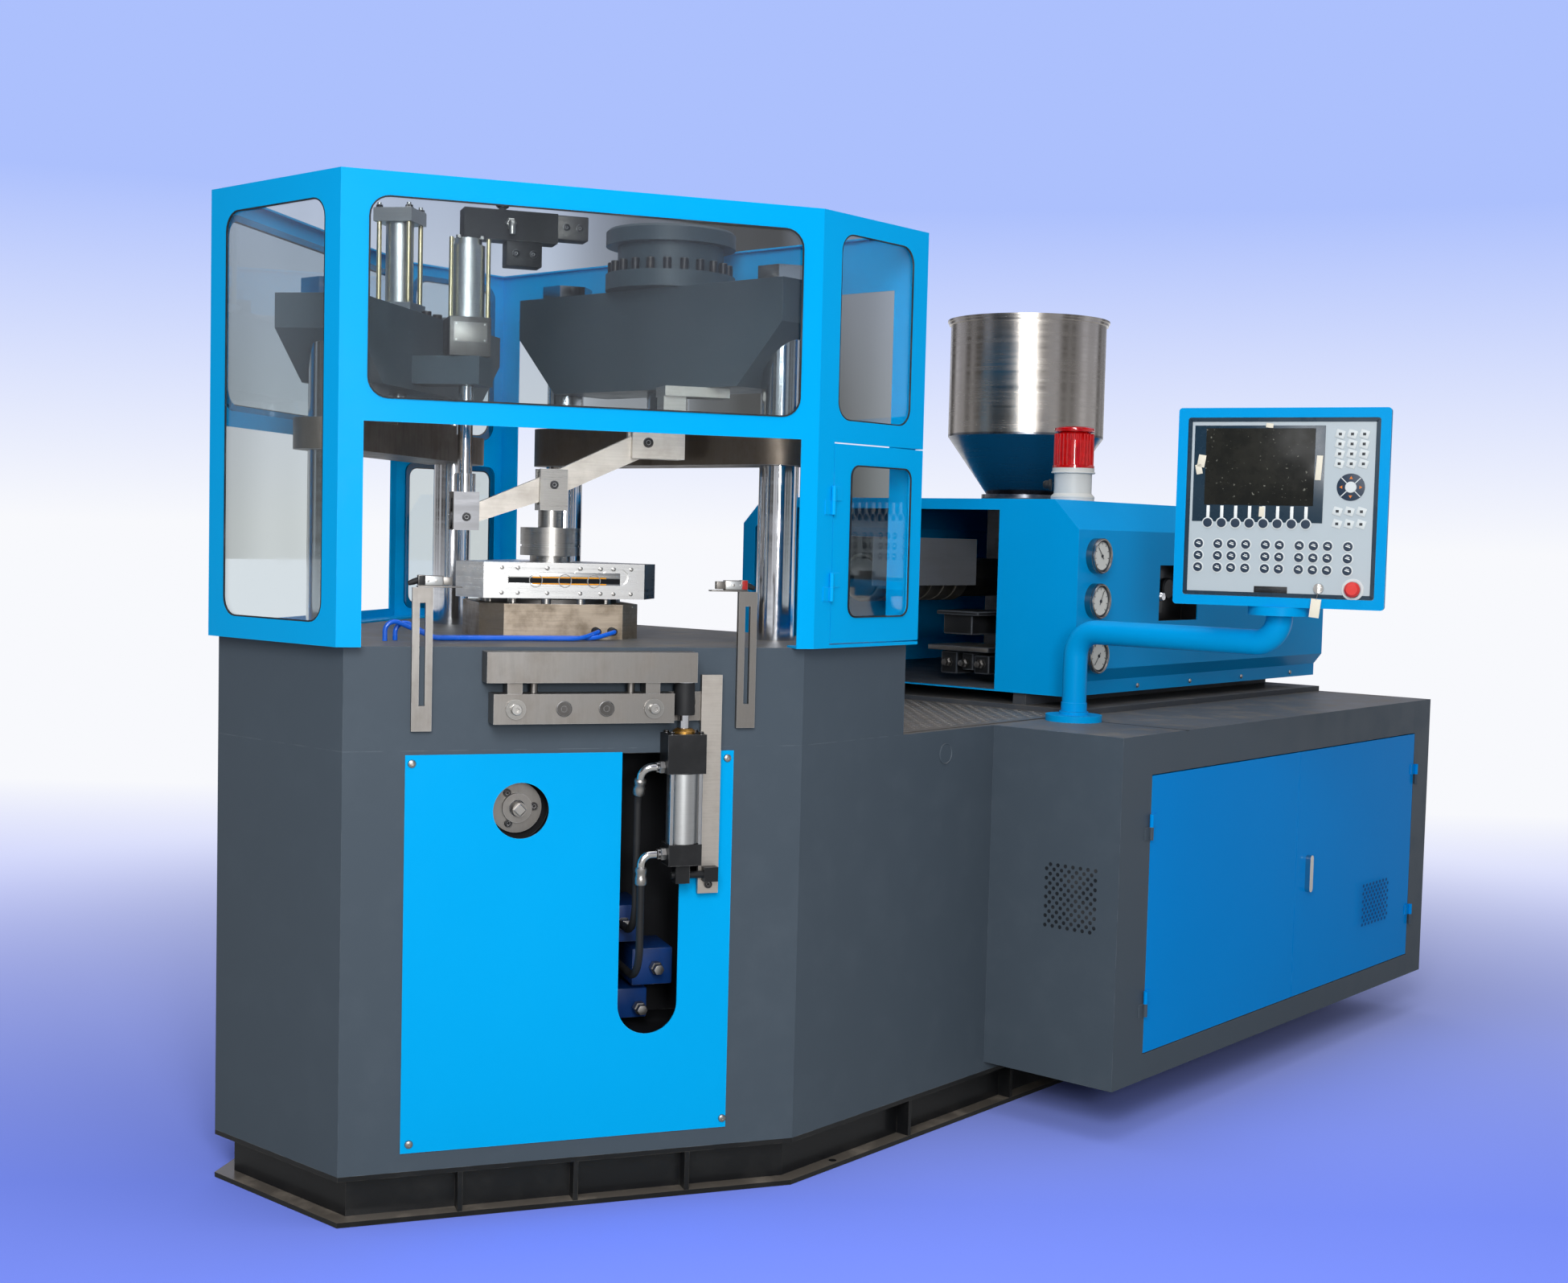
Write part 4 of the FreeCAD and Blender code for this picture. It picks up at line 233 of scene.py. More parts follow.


# the lighter blue edge colours of the blue paints are partly wear and partly painted highlight along the
# edges
bluePaint = paint("bluePaint", (0, 157, 222), 0.30, smears=0.06, smear=(0, 168, 230), wornAndLitEdge=(60, 182, 234),
                  shine=0.04, dust=0.04)
housingBlue = paint("housingBlue", (0, 146, 212), 0.30, smear=(20, 158, 220), wornAndLitEdge=(60, 176, 230), shine=0.04,
                    dust=0.06)
doorPaint = paint("doorPaint", (0, 134, 216), 0.16, uneven=0.14, smears=0.05, smear=(0, 140, 218),
                  wornAndLitEdge=(60, 165, 224), shine=0.015)
greyPaint = paint("greyPaint", (68, 78, 88), 0.42, uneven=0.16, smears=0.16, smear=(90, 100, 110),
                  wornAndLitEdge=(116, 125, 133), shine=0.12, dust=0.8)
bedPaint = paint("bedPaint", (62, 66, 72), 0.45, uneven=0.2, smears=0.35, smear=(94, 90, 84),
                 wornAndLitEdge=(130, 130, 130), shine=0.15, dust=0.75)
blackPaint = paint("blackPaint", (16, 17, 19), 0.30, uneven=0.3, smears=0.3, smear=(44, 43, 41), wear=0.6,
                   wornAndLitEdge=(84, 80, 74), coat=0.2, dust=1.0)
castPaint = paint("castPaint", (52, 64, 72), 0.42, uneven=0.2, smears=0.2, smear=(72, 82, 90), wear=0.6,
                  wornAndLitEdge=(110, 116, 120), bump=0.1, shine=0.25, dust=0.3)
# painted shade: the black of the linings in recesses and of the sheet in the head's slots
paintedShadeBlack = paint("paintedShadeBlack", (17, 18, 21), 0.6, uneven=0.3, smears=0.4, smear=(40, 42, 46), wear=0.2,
                   shine=0.15)
floorPlate = paint("floorPlate", (58, 62, 68), 0.5, uneven=0.3, smears=0.4, smear=(84, 86, 88), shine=0.2)
blackAnodised = paint("blackAnodised", (24, 25, 27), 0.4, smears=0.25, smear=(58, 58, 60), wear=0.7,
                      wornAndLitEdge=(120, 120, 120), shine=0.25)
rubber = paint("hoseRubber", (26, 27, 29), 0.55, smears=0.3, smear=(60, 60, 62), wear=0.1, bump=0.5)
sealRubber = paint("sealRubber", (22, 27, 33), 0.6, smears=0.1, wear=0.0, bump=0.4)
blueTube = paint("blueTube", (10, 92, 206), 0.25, smears=0.06, wear=0.0, coat=0.3)
palePlastic = paint("palePlastic", (198, 198, 194), 0.38, smears=0.12, smear=(160, 156, 148), wear=0.2)
facePlastic = paint("facePlastic", (172, 183, 190), 0.40, uneven=0.06, smear=(196, 202, 206), wear=0.0)
petrolFilm = paint("petrolFilm", (26, 48, 64), 0.24, smears=0.12, smear=(44, 66, 80), wear=0.0)
keyFilm = paint("keyFilm", (28, 46, 66), 0.35, smears=0.1, smear=(60, 80, 98), wear=0.2)
keyPale = paint("keyPale", (202, 208, 210), 0.4, smears=0.12, smear=(150, 156, 160), wear=0.1)
markPale = paint("markPale", (224, 228, 228), 0.4, smears=0.05, wear=0.0)
markDark = paint("markDark", (40, 44, 50), 0.45, smears=0.05, wear=0.0)
amberSeal = paint("amberSeal", (238, 160, 40), 0.4, smears=0.2, smear=(150, 84, 24), wear=0.0, shine=0.2)
arrowOrange = paint("arrowOrange", (214, 120, 36), 0.4, smears=0.05, wear=0.0)
paperTape = paint("paperTape", (222, 216, 200), 0.7, uneven=0.3, smears=0.3, smear=(176, 166, 146), wear=0.0)
stopRed = paint("stopRed", (214, 40, 34), 0.32, smears=0.06, wear=0.1, coat=0.3)
sensorRed = paint("sensorRed", (150, 24, 22), 0.35, smears=0.1, wear=0.2)
# painted shade: the darker blue seen in the rear door's vent holes
ventHoleShade = paint("ventHoleShade", (4, 78, 136), 0.5, smears=0.05, wear=0.0, shine=0.05)
blockBlue = paint("blockBlue", (10, 52, 112), 0.4, smears=0.3, smear=(30, 36, 44))
dialWhite = paint("dialWhite", (206, 206, 200), 0.4, uneven=0.04, smears=0.06, wear=0.0)

groundSteel = metal("groundSteel", (224, 224, 222), 0.22, (5, 5, 260), streaks=0.2, stains=0.22)
platenSteel = metal("platenSteel", (108, 99, 90), 0.4, (60, 60, 8), streaks=0.2, stains=0.35,
                    stain=(74, 62, 50))
plateSteel = metal("plateSteel", (136, 133, 129), 0.36, (60, 60, 8), stains=0.3, turn=(0, 0, 0.5))
leverSteel = metal("leverSteel", (188, 182, 174), 0.4, (10, 10, 220), stains=0.25)
agedSteel = metal("agedSteel", (170, 157, 140), 0.42, (8, 8, 180), streaks=0.35, stains=0.55,
                  stain=(92, 78, 58))
darkSteel = metal("darkSteel", (92, 90, 88), 0.38, (6, 6, 120), stains=0.35, stain=(40, 36, 32))
turnedSteel = metal("turnedSteel", (156, 154, 150), 0.24, (3, 3, 500))
chromeBar = metal("chromeBar", (204, 206, 210), 0.06, (4, 4, 40), streaks=0.06, stains=0.08, edges=0.1,
                  bump=0.01)
hopperSteel = metal("hopperSteel", (182, 176, 168), 0.17, (2, 2, 90), streaks=0.12, stains=0.1,
                    stain=(120, 108, 96), edges=0.2, bump=0.02)
coverSteel = metal("coverSteel", (124, 128, 134), 0.30, (40, 4, 40), streaks=0.15, stains=0.12, edges=0.3,
                   metallic=0.35)
paleBrass = metal("paleBrass", (208, 196, 158), 0.3, (4, 4, 200), stain=(150, 130, 90))
gaugeSteel = metal("gaugeSteel", (158, 156, 152), 0.16, (20, 20, 20), stains=0.1)
brightSteel = metal("brightSteel", (206, 204, 200), 0.13, (2, 2, 90), streaks=0.08, stains=0.06, edges=0.2,
                    bump=0.02)
aluminium = metal("aluminium", (188, 190, 190), 0.32, (10, 10, 300), streaks=0.15, stains=0.1)
brass = metal("brass", (196, 148, 70), 0.28, (4, 4, 200), stains=0.3, stain=(110, 78, 36))
boltBlack = metal("boltBlack", (48, 48, 50), 0.35, (10, 10, 100), stains=0.2, edges=0.6)
bandSteel = metal("bandSteel", (176, 172, 162), 0.34, (30, 200, 30), stains=0.3)
treadSteel = metal("treadSteel", (136, 130, 122), 0.5, (12, 12, 12), streaks=0.2, stains=0.5,
                   stain=(92, 86, 78))
boltSteel = metal("boltSteel", (170, 168, 164), 0.3, (20, 20, 60), stains=0.2)

# the hopper is painted darker under its shoulder: painted shade on the cone
shoulder = (1.7045, 1.7085)
tree = hopperSteel.node_tree
shader = tree.nodes["Principled BSDF"]
plain = shader.inputs["Base Color"].links[0].from_socket
paintedConeShade = mixColours(tree, 1.0, plain, (0.30, 0.34, 0.42, 1), "MULTIPLY")
above = ramp(tree, heightOf(tree, ownSpot(tree)), *shoulder)
setInputs(tree, shader, {"Base Color": mixColours(tree, above, paintedConeShade, plain)})

# clear sheet that lets the lamps through to what stands behind it
paneLook = {"tint": srgb(216, 225, 227), "rough": 0.01, "clear": 0.86}
pane, tree, shader = emptyMaterial("clearPane")
spot = ownSpot(tree)
wiped = maths(tree, ramp(tree, noise(tree, spot, 5, 7, 0.7), 0.45, 0.75), 0.05)
clear = maths(tree, addNode(tree, "ShaderNodeLightPath", output="Is Shadow Ray"), paneLook["clear"])
setInputs(tree, shader, {
    "Base Color": paneLook["tint"], "Roughness": maths(tree, wiped, paneLook["rough"], "ADD"),
    "Transmission Weight": 1.0, "IOR": 1.5, "Alpha": maths(tree, 1.0, clear, "SUBTRACT"),
    "Normal": bumped(tree, noise(tree, spot, 2.2, 1), 0.03, 0.002)})

redLens, tree, shader = emptyMaterial("redLens")
cloud = noise(tree, ownSpot(tree), 60, 3)
setInputs(tree, shader, {
    "Base Color": mixColours(tree, ramp(tree, cloud, 0.35, 0.7), srgb(200, 2, 6), srgb(232, 16, 18)),
    "Roughness": maths(tree, maths(tree, cloud, 0.1), 0.08, "ADD"), "Transmission Weight": 0.35,
    "Coat Weight": 0.5, "Normal": bumped(tree, cloud, 0.2, 0.0004)})

screenGlass, tree, shader = emptyMaterial("screenGlass")
spot = ownSpot(tree)
specks = ramp(tree, noise(tree, spot, 150, 2), 0.68, 0.74)
hazy = ramp(tree, noise(tree, spot, 9, 6, 0.7), 0.4, 0.75)
dusty = mixColours(tree, maths(tree, hazy, 0.35), srgb(30, 31, 30), srgb(62, 60, 52))
setInputs(tree, shader, {
    "Base Color": mixColours(tree, maths(tree, specks, 0.5), dusty, srgb(150, 150, 140)),
    "Roughness": maths(tree, maths(tree, hazy, 0.3), 0.16, "ADD"), "Specular IOR Level": 0.06})
print("materials made")


# mesh helpers
def addBlock(bm, low, high, bevel=0.0, at=machinePlace, material=0):
    size = [high[k] - low[k] for k in range(3)]
    middle = [(high[k] + low[k]) / 2 for k in range(3)]
    matrix = at @ Matrix.Translation(middle) @ Matrix.Diagonal((*size, 1))
    made = bmesh.ops.create_cube(bm, size=1, matrix=matrix)["verts"]
    for face in set(face for vert in made for face in vert.link_faces):
        face.material_index = material
    if bevel:
        edges = list(set(edge for vert in made for edge in vert.link_edges))
        bmesh.ops.bevel(bm, geom=edges, offset=min(bevel, min(size) * 0.45), segments=2, affect="EDGES",
                        profile=0.5)


def addRing(bm, radius, height, steps, at=machinePlace):
    around = [2 * math.pi * k / steps for k in range(steps)]
    return [bm.verts.new(at @ Vector((radius * math.cos(a), radius * math.sin(a), height))) for a in around]


def bridge(bm, below, above, material=0):
    # faces from one ring to the next; a lone vert closes the end
    steps = max(len(below), len(above))
    for k in range(steps):
        n = (k + 1) % steps
        if len(below) == 1:
            loop = [above[n], above[k], below[0]]
        elif len(above) == 1:
            loop = [below[k], below[n], above[0]]
        else:
            loop = [below[k], below[n], above[n], above[k]]
        bm.faces.new(loop).material_index = material


def addTurned(bm, profile, at=machinePlace, steps=32, material=0):
    # a closed turned form: profile is (radius, height) from one end of the axis to the other
    rings = [addRing(bm, radius, height, steps if radius else 1, at) for radius, height in profile]
    for below, above in zip(rings, rings[1:]):
        bridge(bm, below, above, material)


def addTube(bm, points, radius, sides=12, at=machinePlace, material=0, bend=6):
    # a round tube through points whose corners are rounded
    spots = [Vector(point) for point in points]
    path = [spots[0]]
    for before, corner, after in zip(spots, spots[1:], spots[2:]):
        reach = min((corner - before).length, (after - corner).length) * 0.45
        start = corner + (before - corner).normalized() * reach
        end = corner + (after - corner).normalized() * reach
        for k in range(bend + 1):
            t = k / bend
            path.append(start * (1 - t) ** 2 + corner * 2 * t * (1 - t) + end * t ** 2)
    path.append(spots[-1])
    rings = []
    side = None
    for k, spot in enumerate(path):
        ahead = (path[min(k + 1, len(path) - 1)] - path[max(k - 1, 0)]).normalized()
        side = side or ahead.orthogonal().normalized()
        side = (side - ahead * side.dot(ahead)).normalized()
        other = ahead.cross(side)
        around = [2 * math.pi * n / sides for n in range(sides)]
        rings.append([bm.verts.new(at @ (spot + (side * math.cos(a) + other * math.sin(a)) * radius))
                      for a in around])
    for below, above in zip(rings, rings[1:]):
        bridge(bm, below, above, material)
    bm.faces.new(rings[0][::-1]).material_index = material
    bm.faces.new(rings[-1]).material_index = material


def rod(radius, low, high):
    # profile of a plain round bar
    return [(0, low), (radius, low), (radius, high), (0, high)]


def meshOf(name, forms):
    # forms are (function, what it takes after the bmesh)
    bm = bmesh.new()
    for add, *takes in forms:
        add(bm, *takes)
    bmesh.ops.recalc_face_normals(bm, faces=bm.faces)
    mesh = bpy.data.meshes.new(name)
    bm.to_mesh(mesh)
    bm.free()
    return mesh


def newObject(name, mesh):
    mesh.shade_smooth()
    mesh.set_sharp_from_angle(angle=math.radians(35))
    made = bpy.data.objects.new(name, mesh)
    bpy.context.scene.collection.objects.link(made)
    return made


def asPiece(name, mesh, body, materials=()):
    for material in materials:
        mesh.materials.append(material)
    piece = newObject(name, mesh)
    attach(piece, body)


def makePiece(name, body, materials, forms):
    asPiece(name, meshOf(name, forms), body, materials)


# trees for what repeats
def geometry(tree, kind, values=None, output=0, **settings):
    return addNode(tree, "GeometryNode" + kind, values, output, **settings)


def newTree(name, inputs):
    tree, given, gives = newGroup(name, "GeometryNodeTree", inputs + [("Material", "Material", None)],
                                  [("Geometry", "Geometry")])
    return tree, given, gives.inputs[0]


def closeTree(tree, made, given, end):
    real = geometry(tree, "RealizeInstances", {0: made})
    tree.links.new(geometry(tree, "SetMaterial", {"Geometry": real, "Material": given["Material"]}), end)
    return tree


def copied(tree, given, points, turn):
    # the given piece on every point
    piece = geometry(tree, "ObjectInfo", {"Object": given["Piece"]}, "Geometry")
    size = addNode(tree, "ShaderNodeCombineXYZ", {k: given["Size"] for k in range(3)})
    return geometry(tree, "InstanceOnPoints", {"Points": points, "Instance": piece, "Rotation": turn,
                                               "Scale": size})


def turnOf(tree, angle):
    return addNode(tree, "FunctionNodeEulerToRotation", {0: addNode(tree, "ShaderNodeCombineXYZ",
        {2: angle})})


def scatterTree():
    # a copy of one piece on every point, its axis along the point's own direction
    tree, given, end = newTree("setOnPoints", [
        ("Geometry", "Geometry", None), ("Piece", "Object", None), ("Size", "Float", 1.0),
        ("Random turn", "Float", 0.0), ("Seed", "Int", 7)])
    facing = geometry(tree, "InputNamedAttribute", {"Name": "facing"}, data_type="FLOAT_VECTOR")
    turn = addNode(tree, "FunctionNodeAlignRotationToVector", {"Vector": facing}, axis="Z")
    copies = copied(tree, given, given["Geometry"], turn)
    chance = addNode(tree, "FunctionNodeRandomValue", {"Seed": given["Seed"]}, 1, data_type="FLOAT")
    spin = turnOf(tree, maths(tree, chance, given["Random turn"]))
    turned = geometry(tree, "RotateInstances", {"Instances": copies, "Rotation": spin})
    return closeTree(tree, turned, given, end)


def gridTree():
    # rows and columns of one piece, every second row shifted and every second copy turned
    tree, given, end = newTree("setInRows", [
        ("Piece", "Object", None), ("Columns", "Int", 4), ("Rows", "Int", 4), ("Pitch across", "Float", 0.02),
        ("Pitch up", "Float", 0.02), ("Row shift", "Float", 0.0), ("Alternate turn", "Float", 0.0),
        ("Size", "Float", 1.0)])
    width = maths(tree, maths(tree, given["Columns"], 1.0, "SUBTRACT"), given["Pitch across"])
    height = maths(tree, maths(tree, given["Rows"], 1.0, "SUBTRACT"), given["Pitch up"])
    points = geometry(tree, "MeshGrid", {"Size X": width, "Size Y": height, "Vertices X": given["Columns"],
                      "Vertices Y": given["Rows"]})
    index = geometry(tree, "InputIndex")
    row = maths(tree, index, given["Rows"], "MODULO")
    column = maths(tree, maths(tree, index, given["Rows"], "DIVIDE"), 0.0, "FLOOR")
    shift = maths(tree, maths(tree, row, 2.0, "MODULO"),
                  maths(tree, given["Row shift"], given["Pitch across"]))
    staggered = geometry(tree, "SetPosition", {"Geometry": points,
                         "Offset": addNode(tree, "ShaderNodeCombineXYZ", {0: shift})})
    second = maths(tree, maths(tree, row, column, "ADD"), 2.0, "MODULO")
    turn = turnOf(tree, maths(tree, second, given["Alternate turn"]))
    return closeTree(tree, copied(tree, given, staggered, turn), given, end)


def stripTree():
    # a strip of one section along an outline
    tree, given, end = newTree("stripAlong", [
        ("Geometry", "Geometry", None), ("Width", "Float", 0.01), ("Depth", "Float", 0.004)])
    line = geometry(tree, "MeshToCurve", {0: given["Geometry"]})
    upright = geometry(tree, "SetCurveNormal", {"Curve": line}, mode="Z_UP")
    section = geometry(tree, "CurvePrimitiveQuadrilateral",
                       {"Width": given["Depth"], "Height": given["Width"]})
    swept = geometry(tree, "CurveToMesh", {"Curve": upright, "Profile Curve": section})
    return closeTree(tree, swept, given, end)


def bandTree():
    # rings one after another along an axis
    tree, given, end = newTree("bandsAlong", [
        ("Count", "Int", 6), ("Pitch", "Float", 0.05), ("Radius", "Float", 0.05), ("Width", "Float", 0.04),
        ("Thickness", "Float", 0.004)])
    step = addNode(tree, "ShaderNodeCombineXYZ", {2: given["Pitch"]})
    points = geometry(tree, "MeshLine", {"Count": given["Count"], "Offset": step})
    hoop = geometry(tree, "CurvePrimitiveCircle", {"Resolution": 40, "Radius": given["Radius"]})
    section = geometry(tree, "CurvePrimitiveQuadrilateral",
                       {"Width": given["Thickness"], "Height": given["Width"]})
    corner = maths(tree, given["Thickness"], 0.35)
    rounded = geometry(tree, "FilletCurve", {"Curve": section, "Radius": corner, "Count": 2}, mode="POLY")
    band = geometry(tree, "CurveToMesh", {"Curve": hoop, "Profile Curve": rounded})
    copies = geometry(tree, "InstanceOnPoints", {"Points": points, "Instance": band})
    return closeTree(tree, copies, given, end)


def dialTree():
    # tick marks round part of a circle
    tree, given, end = newTree("ticksRound", [
        ("Count", "Int", 30), ("Radius", "Float", 0.03), ("Length", "Float", 0.005),
        ("Width", "Float", 0.0006), ("Start", "Float", -0.78), ("Sweep", "Float", 4.71)])
    arc = geometry(tree, "CurveArc", {"Resolution": 64, "Radius": given["Radius"],
                                      "Start Angle": given["Start"], "Sweep Angle": given["Sweep"]},
                                      mode="RADIUS")
    points = geometry(tree, "CurveToPoints", {"Curve": arc, "Count": given["Count"]}, mode="COUNT")
    along = addNode(tree, "FunctionNodeAlignRotationToVector", {"Vector": points.node.outputs["Tangent"]},
                    axis="X")
    size = addNode(tree, "ShaderNodeCombineXYZ", {0: given["Width"], 1: given["Length"], 2: 0.0003})
    tick = geometry(tree, "MeshCube", {"Size": size})
    copies = geometry(tree, "InstanceOnPoints", {"Points": points, "Instance": tick, "Rotation": along})
    return closeTree(tree, copies, given, end)


setOnPoints, setInRows, stripAlong, bandsAlong, ticksRound = (
    scatterTree(), gridTree(), stripTree(), bandTree(), dialTree())


def grown(tree, values, source=None):
    # runs a tree on a source mesh and gives back a plain mesh
    holder = bpy.data.objects.new("growing", source or bpy.data.meshes.new("growing"))
    modifier = holder.modifiers.new("grow", "NODES")
    modifier.node_group = tree
    for socket in tree.interface.items_tree:
        if socket.in_out == "INPUT" and socket.name in values:
            modifier[socket.identifier] = values[socket.name]
    bpy.context.scene.collection.objects.link(holder)
    graph = bpy.context.evaluated_depsgraph_get()
    mesh = bpy.data.meshes.new_from_object(holder.evaluated_get(graph), preserve_all_data_layers=True,
                                           depsgraph=graph)
    holder.modifiers.clear()
    bpy.data.objects.remove(holder)
    if "facing" in mesh.attributes:
        mesh.attributes.remove(mesh.attributes["facing"])
    return mesh


def growPiece(name, tree, values, body, at=machinePlace, source=None):
    mesh = grown(tree, values, source)
    mesh.transform(at)
    asPiece(name, mesh, body)


def pointMesh(points):
    # points given as (place, x, y, z, direction), both turned into the machine's own axes
    mesh = bpy.data.meshes.new("points")
    mesh.from_pydata([at @ Vector((x, y, z)) for at, x, y, z, way in points], [], [])
    ways = mesh.attributes.new("facing", "FLOAT_VECTOR", "POINT")
    for k, (at, x, y, z, way) in enumerate(points):
        ways.data[k].vector = (at.to_3x3() @ Vector(way)).normalized()
    return mesh


prototypes = []


def prototype(name, *forms):
    # a form that the trees copy
    prototypes.append(newObject(name, meshOf(name, forms)))
    return prototypes[-1]


def addSocketHead(bm, sides=18):
    # cap screw of unit radius with a six-sided socket
    rings = [addRing(bm, radius, height, sides) for radius, height in ((1.0, 0.0), (1.0, 0.85), (0.9, 0.95))]
    for below, above in zip(rings, rings[1:]):
        bridge(bm, below, above)
    top, low = (addRing(bm, 0.5, height, 6) for height in (0.95, 0.45))
    share = sides // 6
    for k in range(6):
        n = (k + 1) % 6
        part = [rings[2][(k * share + step) % sides] for step in range(share + 1)]
        bm.faces.new(part + [top[n], top[k]])
        bm.faces.new([top[k], top[n], low[n], low[k]])
    bm.faces.new(low)
    bm.faces.new(rings[0][::-1])


capScrew = prototype("capScrew", (addSocketHead,))
buttonScrew, hexBolt, tallHead, roundPin, punchedHole, keyDisc, keyRim, rib = (
    prototype(name, (addTurned, profile, machinePlace, steps)) for name, profile, steps in (
        ("buttonScrew", [(0, 0), (1, 0), (1, 0.15), (0.85, 0.42), (0.5, 0.58), (0.32, 0.6), (0.3, 0.35),
                         (0, 0.35)], 20),
        ("hexBolt", [(0, 0), (1.25, 0), (1.25, 0.12), (1.0, 0.14), (1.0, 0.72), (0.88, 0.8), (0, 0.82)], 6),
        ("tallHead", [(0, 0), (1, 0), (1, 2.7), (0.88, 2.85), (0.5, 2.85), (0.46, 2.2), (0, 2.2)], 18),
        ("roundPin", [(0, 0), (1, 0), (1, 0.5), (0.8, 0.62), (0.3, 0.62), (0.26, 0.4), (0, 0.4)], 14),
        ("punchedHole", [(0, -0.02), (1, -0.02), (1, 0.06), (0.86, 0.08), (0.8, 0.03), (0, 0.02)], 10),
        ("keyDisc", [(0, 0), (0.0103, 0), (0.0103, 0.0010), (0.0095, 0.0016), (0, 0.0019)], 20),
        ("keyRim", [(0, 0), (0.0128, 0), (0.0128, 0.0007), (0.0122, 0.0010), (0, 0.0010)], 20),
        ("rib", [(0, -0.044), (0.0030, -0.044), (0.0030, 0.040), (0, 0.0415)], 8)))
lozenge = prototype("lozenge", (addTurned, [(0, 0), (1, 0), (0.75, 0.14), (0, 0.16)],
                                Matrix.Diagonal((1, 0.30, 1, 1)), 6))
module = prototype("module", (addBlock, (0.0, -0.032, -0.044), (0.0165, 0.0, 0.044), 0.0015),
                   (addBlock, (0.003, -0.037, -0.016), (0.0135, -0.031, 0.010), 0.001))
keyMark = prototype("keyMark", (addBlock, (-0.0052, -0.0012, 0.0018), (0.0052, 0.0012, 0.0023), 0.0002),
                    (addBlock, (-0.0034, 0.0026, 0.0018), (0.0034, 0.0042, 0.0023), 0.0002))
keySquare = prototype("keySquare", (addBlock, (-0.0100, -0.0092, 0), (0.0100, 0.0092, 0.0014), 0.0010))


def screws(name, kind, radius, points, body, material, seed=7):
    growPiece(name, setOnPoints, {"Piece": kind, "Size": radius, "Random turn": 1.0, "Seed": seed,
              "Material": material}, body, source=pointMesh(points))


def roundRow(at, radius, z, count, y=0.0, start=0.0):
    angles = [start + 2 * math.pi * k / count for k in range(count)]
    return [(at, radius * math.cos(a), y + radius * math.sin(a), z, up) for a in angles]


print("trees made")

# finishes of the frame's own nodes
finishes = {name: material for material, names in (
    (blackPaint, "base_frame"),
    (greyPaint, "main_body table_band electric_cabinet"),
    (bluePaint, "front_panel guard_frame guard_door"),
    (housingBlue, "arm_flange arm_pipe injection_housing hmi_box"),
    (doorPaint, "cabinet_door_front cabinet_door_rear"),
    (bedPaint, "rear_bed"),
    (castPaint, "injection_head injection_cylinder blow_head"),
    (pane, "front_window nose_window right_window guard_door_window"),
    (chromeBar, "injection_tie_bars blow_tie_bars injection_ram blow_ram lift_rod stripper_rod"),
    (aluminium, "blow_cylinder lift_cylinder"),
    (platenSteel, "injection_platen blow_platen"),
    (plateSteel, "shaft_flange sensor_brackets stripper_carriage stripper_top_plate"),
    (leverSteel, "lift_lever lever_bracket stripper_bracket"),
    (turnedSteel, "index_collar lift_post stripper_guides"),
    (blackAnodised, "valve_manifold stripper_cylinder"),
    (brightSteel, "door_handle key_switch"),
    (hopperSteel, "hopper hopper_lid"),
    (darkSteel, "index_ring injection_barrel"),
    (treadSteel, "chequer_deck"), (agedSteel, "index_base"), (groundSteel, "index_head"),
    (blueTube, "air_hoses"), (rubber, "stripper_hoses"), (coverSteel, "barrel_cover"), (gaugeSteel, "gauges"),
    (palePlastic, "beacon_base"), (redLens, "beacon_lens"), (facePlastic, "hmi_panel"),
    (stopRed, "stop_button"),
) for name in names.split()}
for name, item in nodes.items():
    item.data.materials.clear()
    item.data.materials.append(finishes[name])
print("nodes finished")

# front panel, drive shaft and body
panelLook = {"screw": 0.0085, "screwFace": -0.003,
             "screwSpots": [(-0.343, 0.923), (0.311, 0.924), (-0.339, 0.158), (0.317, 0.159)],
             "shaft": (-0.123, 0.824), "flangeScrew": 0.008, "circle": 0.036, "flangeFace": 0.048,
             "angles": (0.05, 2.14, 4.24), "knockOut": (-0.740, 0.893, 0.025)}
screws("panelScrews", buttonScrew, panelLook["screw"],
       [(facePlace, x, panelLook["screwFace"], z, out) for x, z in panelLook["screwSpots"]], "machine",
       boltSteel)
shaftX, shaftZ = panelLook["shaft"]
circle = panelLook["circle"]
screws("flangeScrews", capScrew, panelLook["flangeScrew"],
       [(facePlace, shaftX + circle * math.cos(a), panelLook["flangeFace"], shaftZ + circle * math.sin(a),
         out) for a in panelLook["angles"]], "machine", boltBlack)
shaftLook = {"radius": 0.014, "tip": 0.012, "hub": 0.036, "groove": 0.017, "square": 0.007}
radius, groove, square = (shaftLook[key] for key in ("radius", "groove", "square"))
makePiece("shaftEnd", "machine", [boltBlack, brightSteel], [
    (addTurned, [(radius + 0.0002, 0), (radius + 0.0002, 0.0006), (groove, 0.0006), (groove, 0)],
     pointing(shaftX, shaftLook["hub"], shaftZ, out, facePlace), 28, 0),
    (addTurned, [(0, -0.001), (radius * 0.92, -0.001), (radius * 0.92, square - 0.001),
                 (radius * 0.8, square), (0, square)], pointing(shaftX, shaftLook["tip"], shaftZ, out,
                     facePlace), 4, 1)])
y, z, radius = panelLook["knockOut"]
makePiece("knockOutPlug", "machine", [greyPaint], [
    (addTurned, [(0, -0.001), (radius, -0.001), (radius, 0.0015), (radius - 0.002, 0.0022),
                 (radius - 0.003, 0.0008), (0, 0.0012)], pointing(y, 0, z, out, sidePlace))])
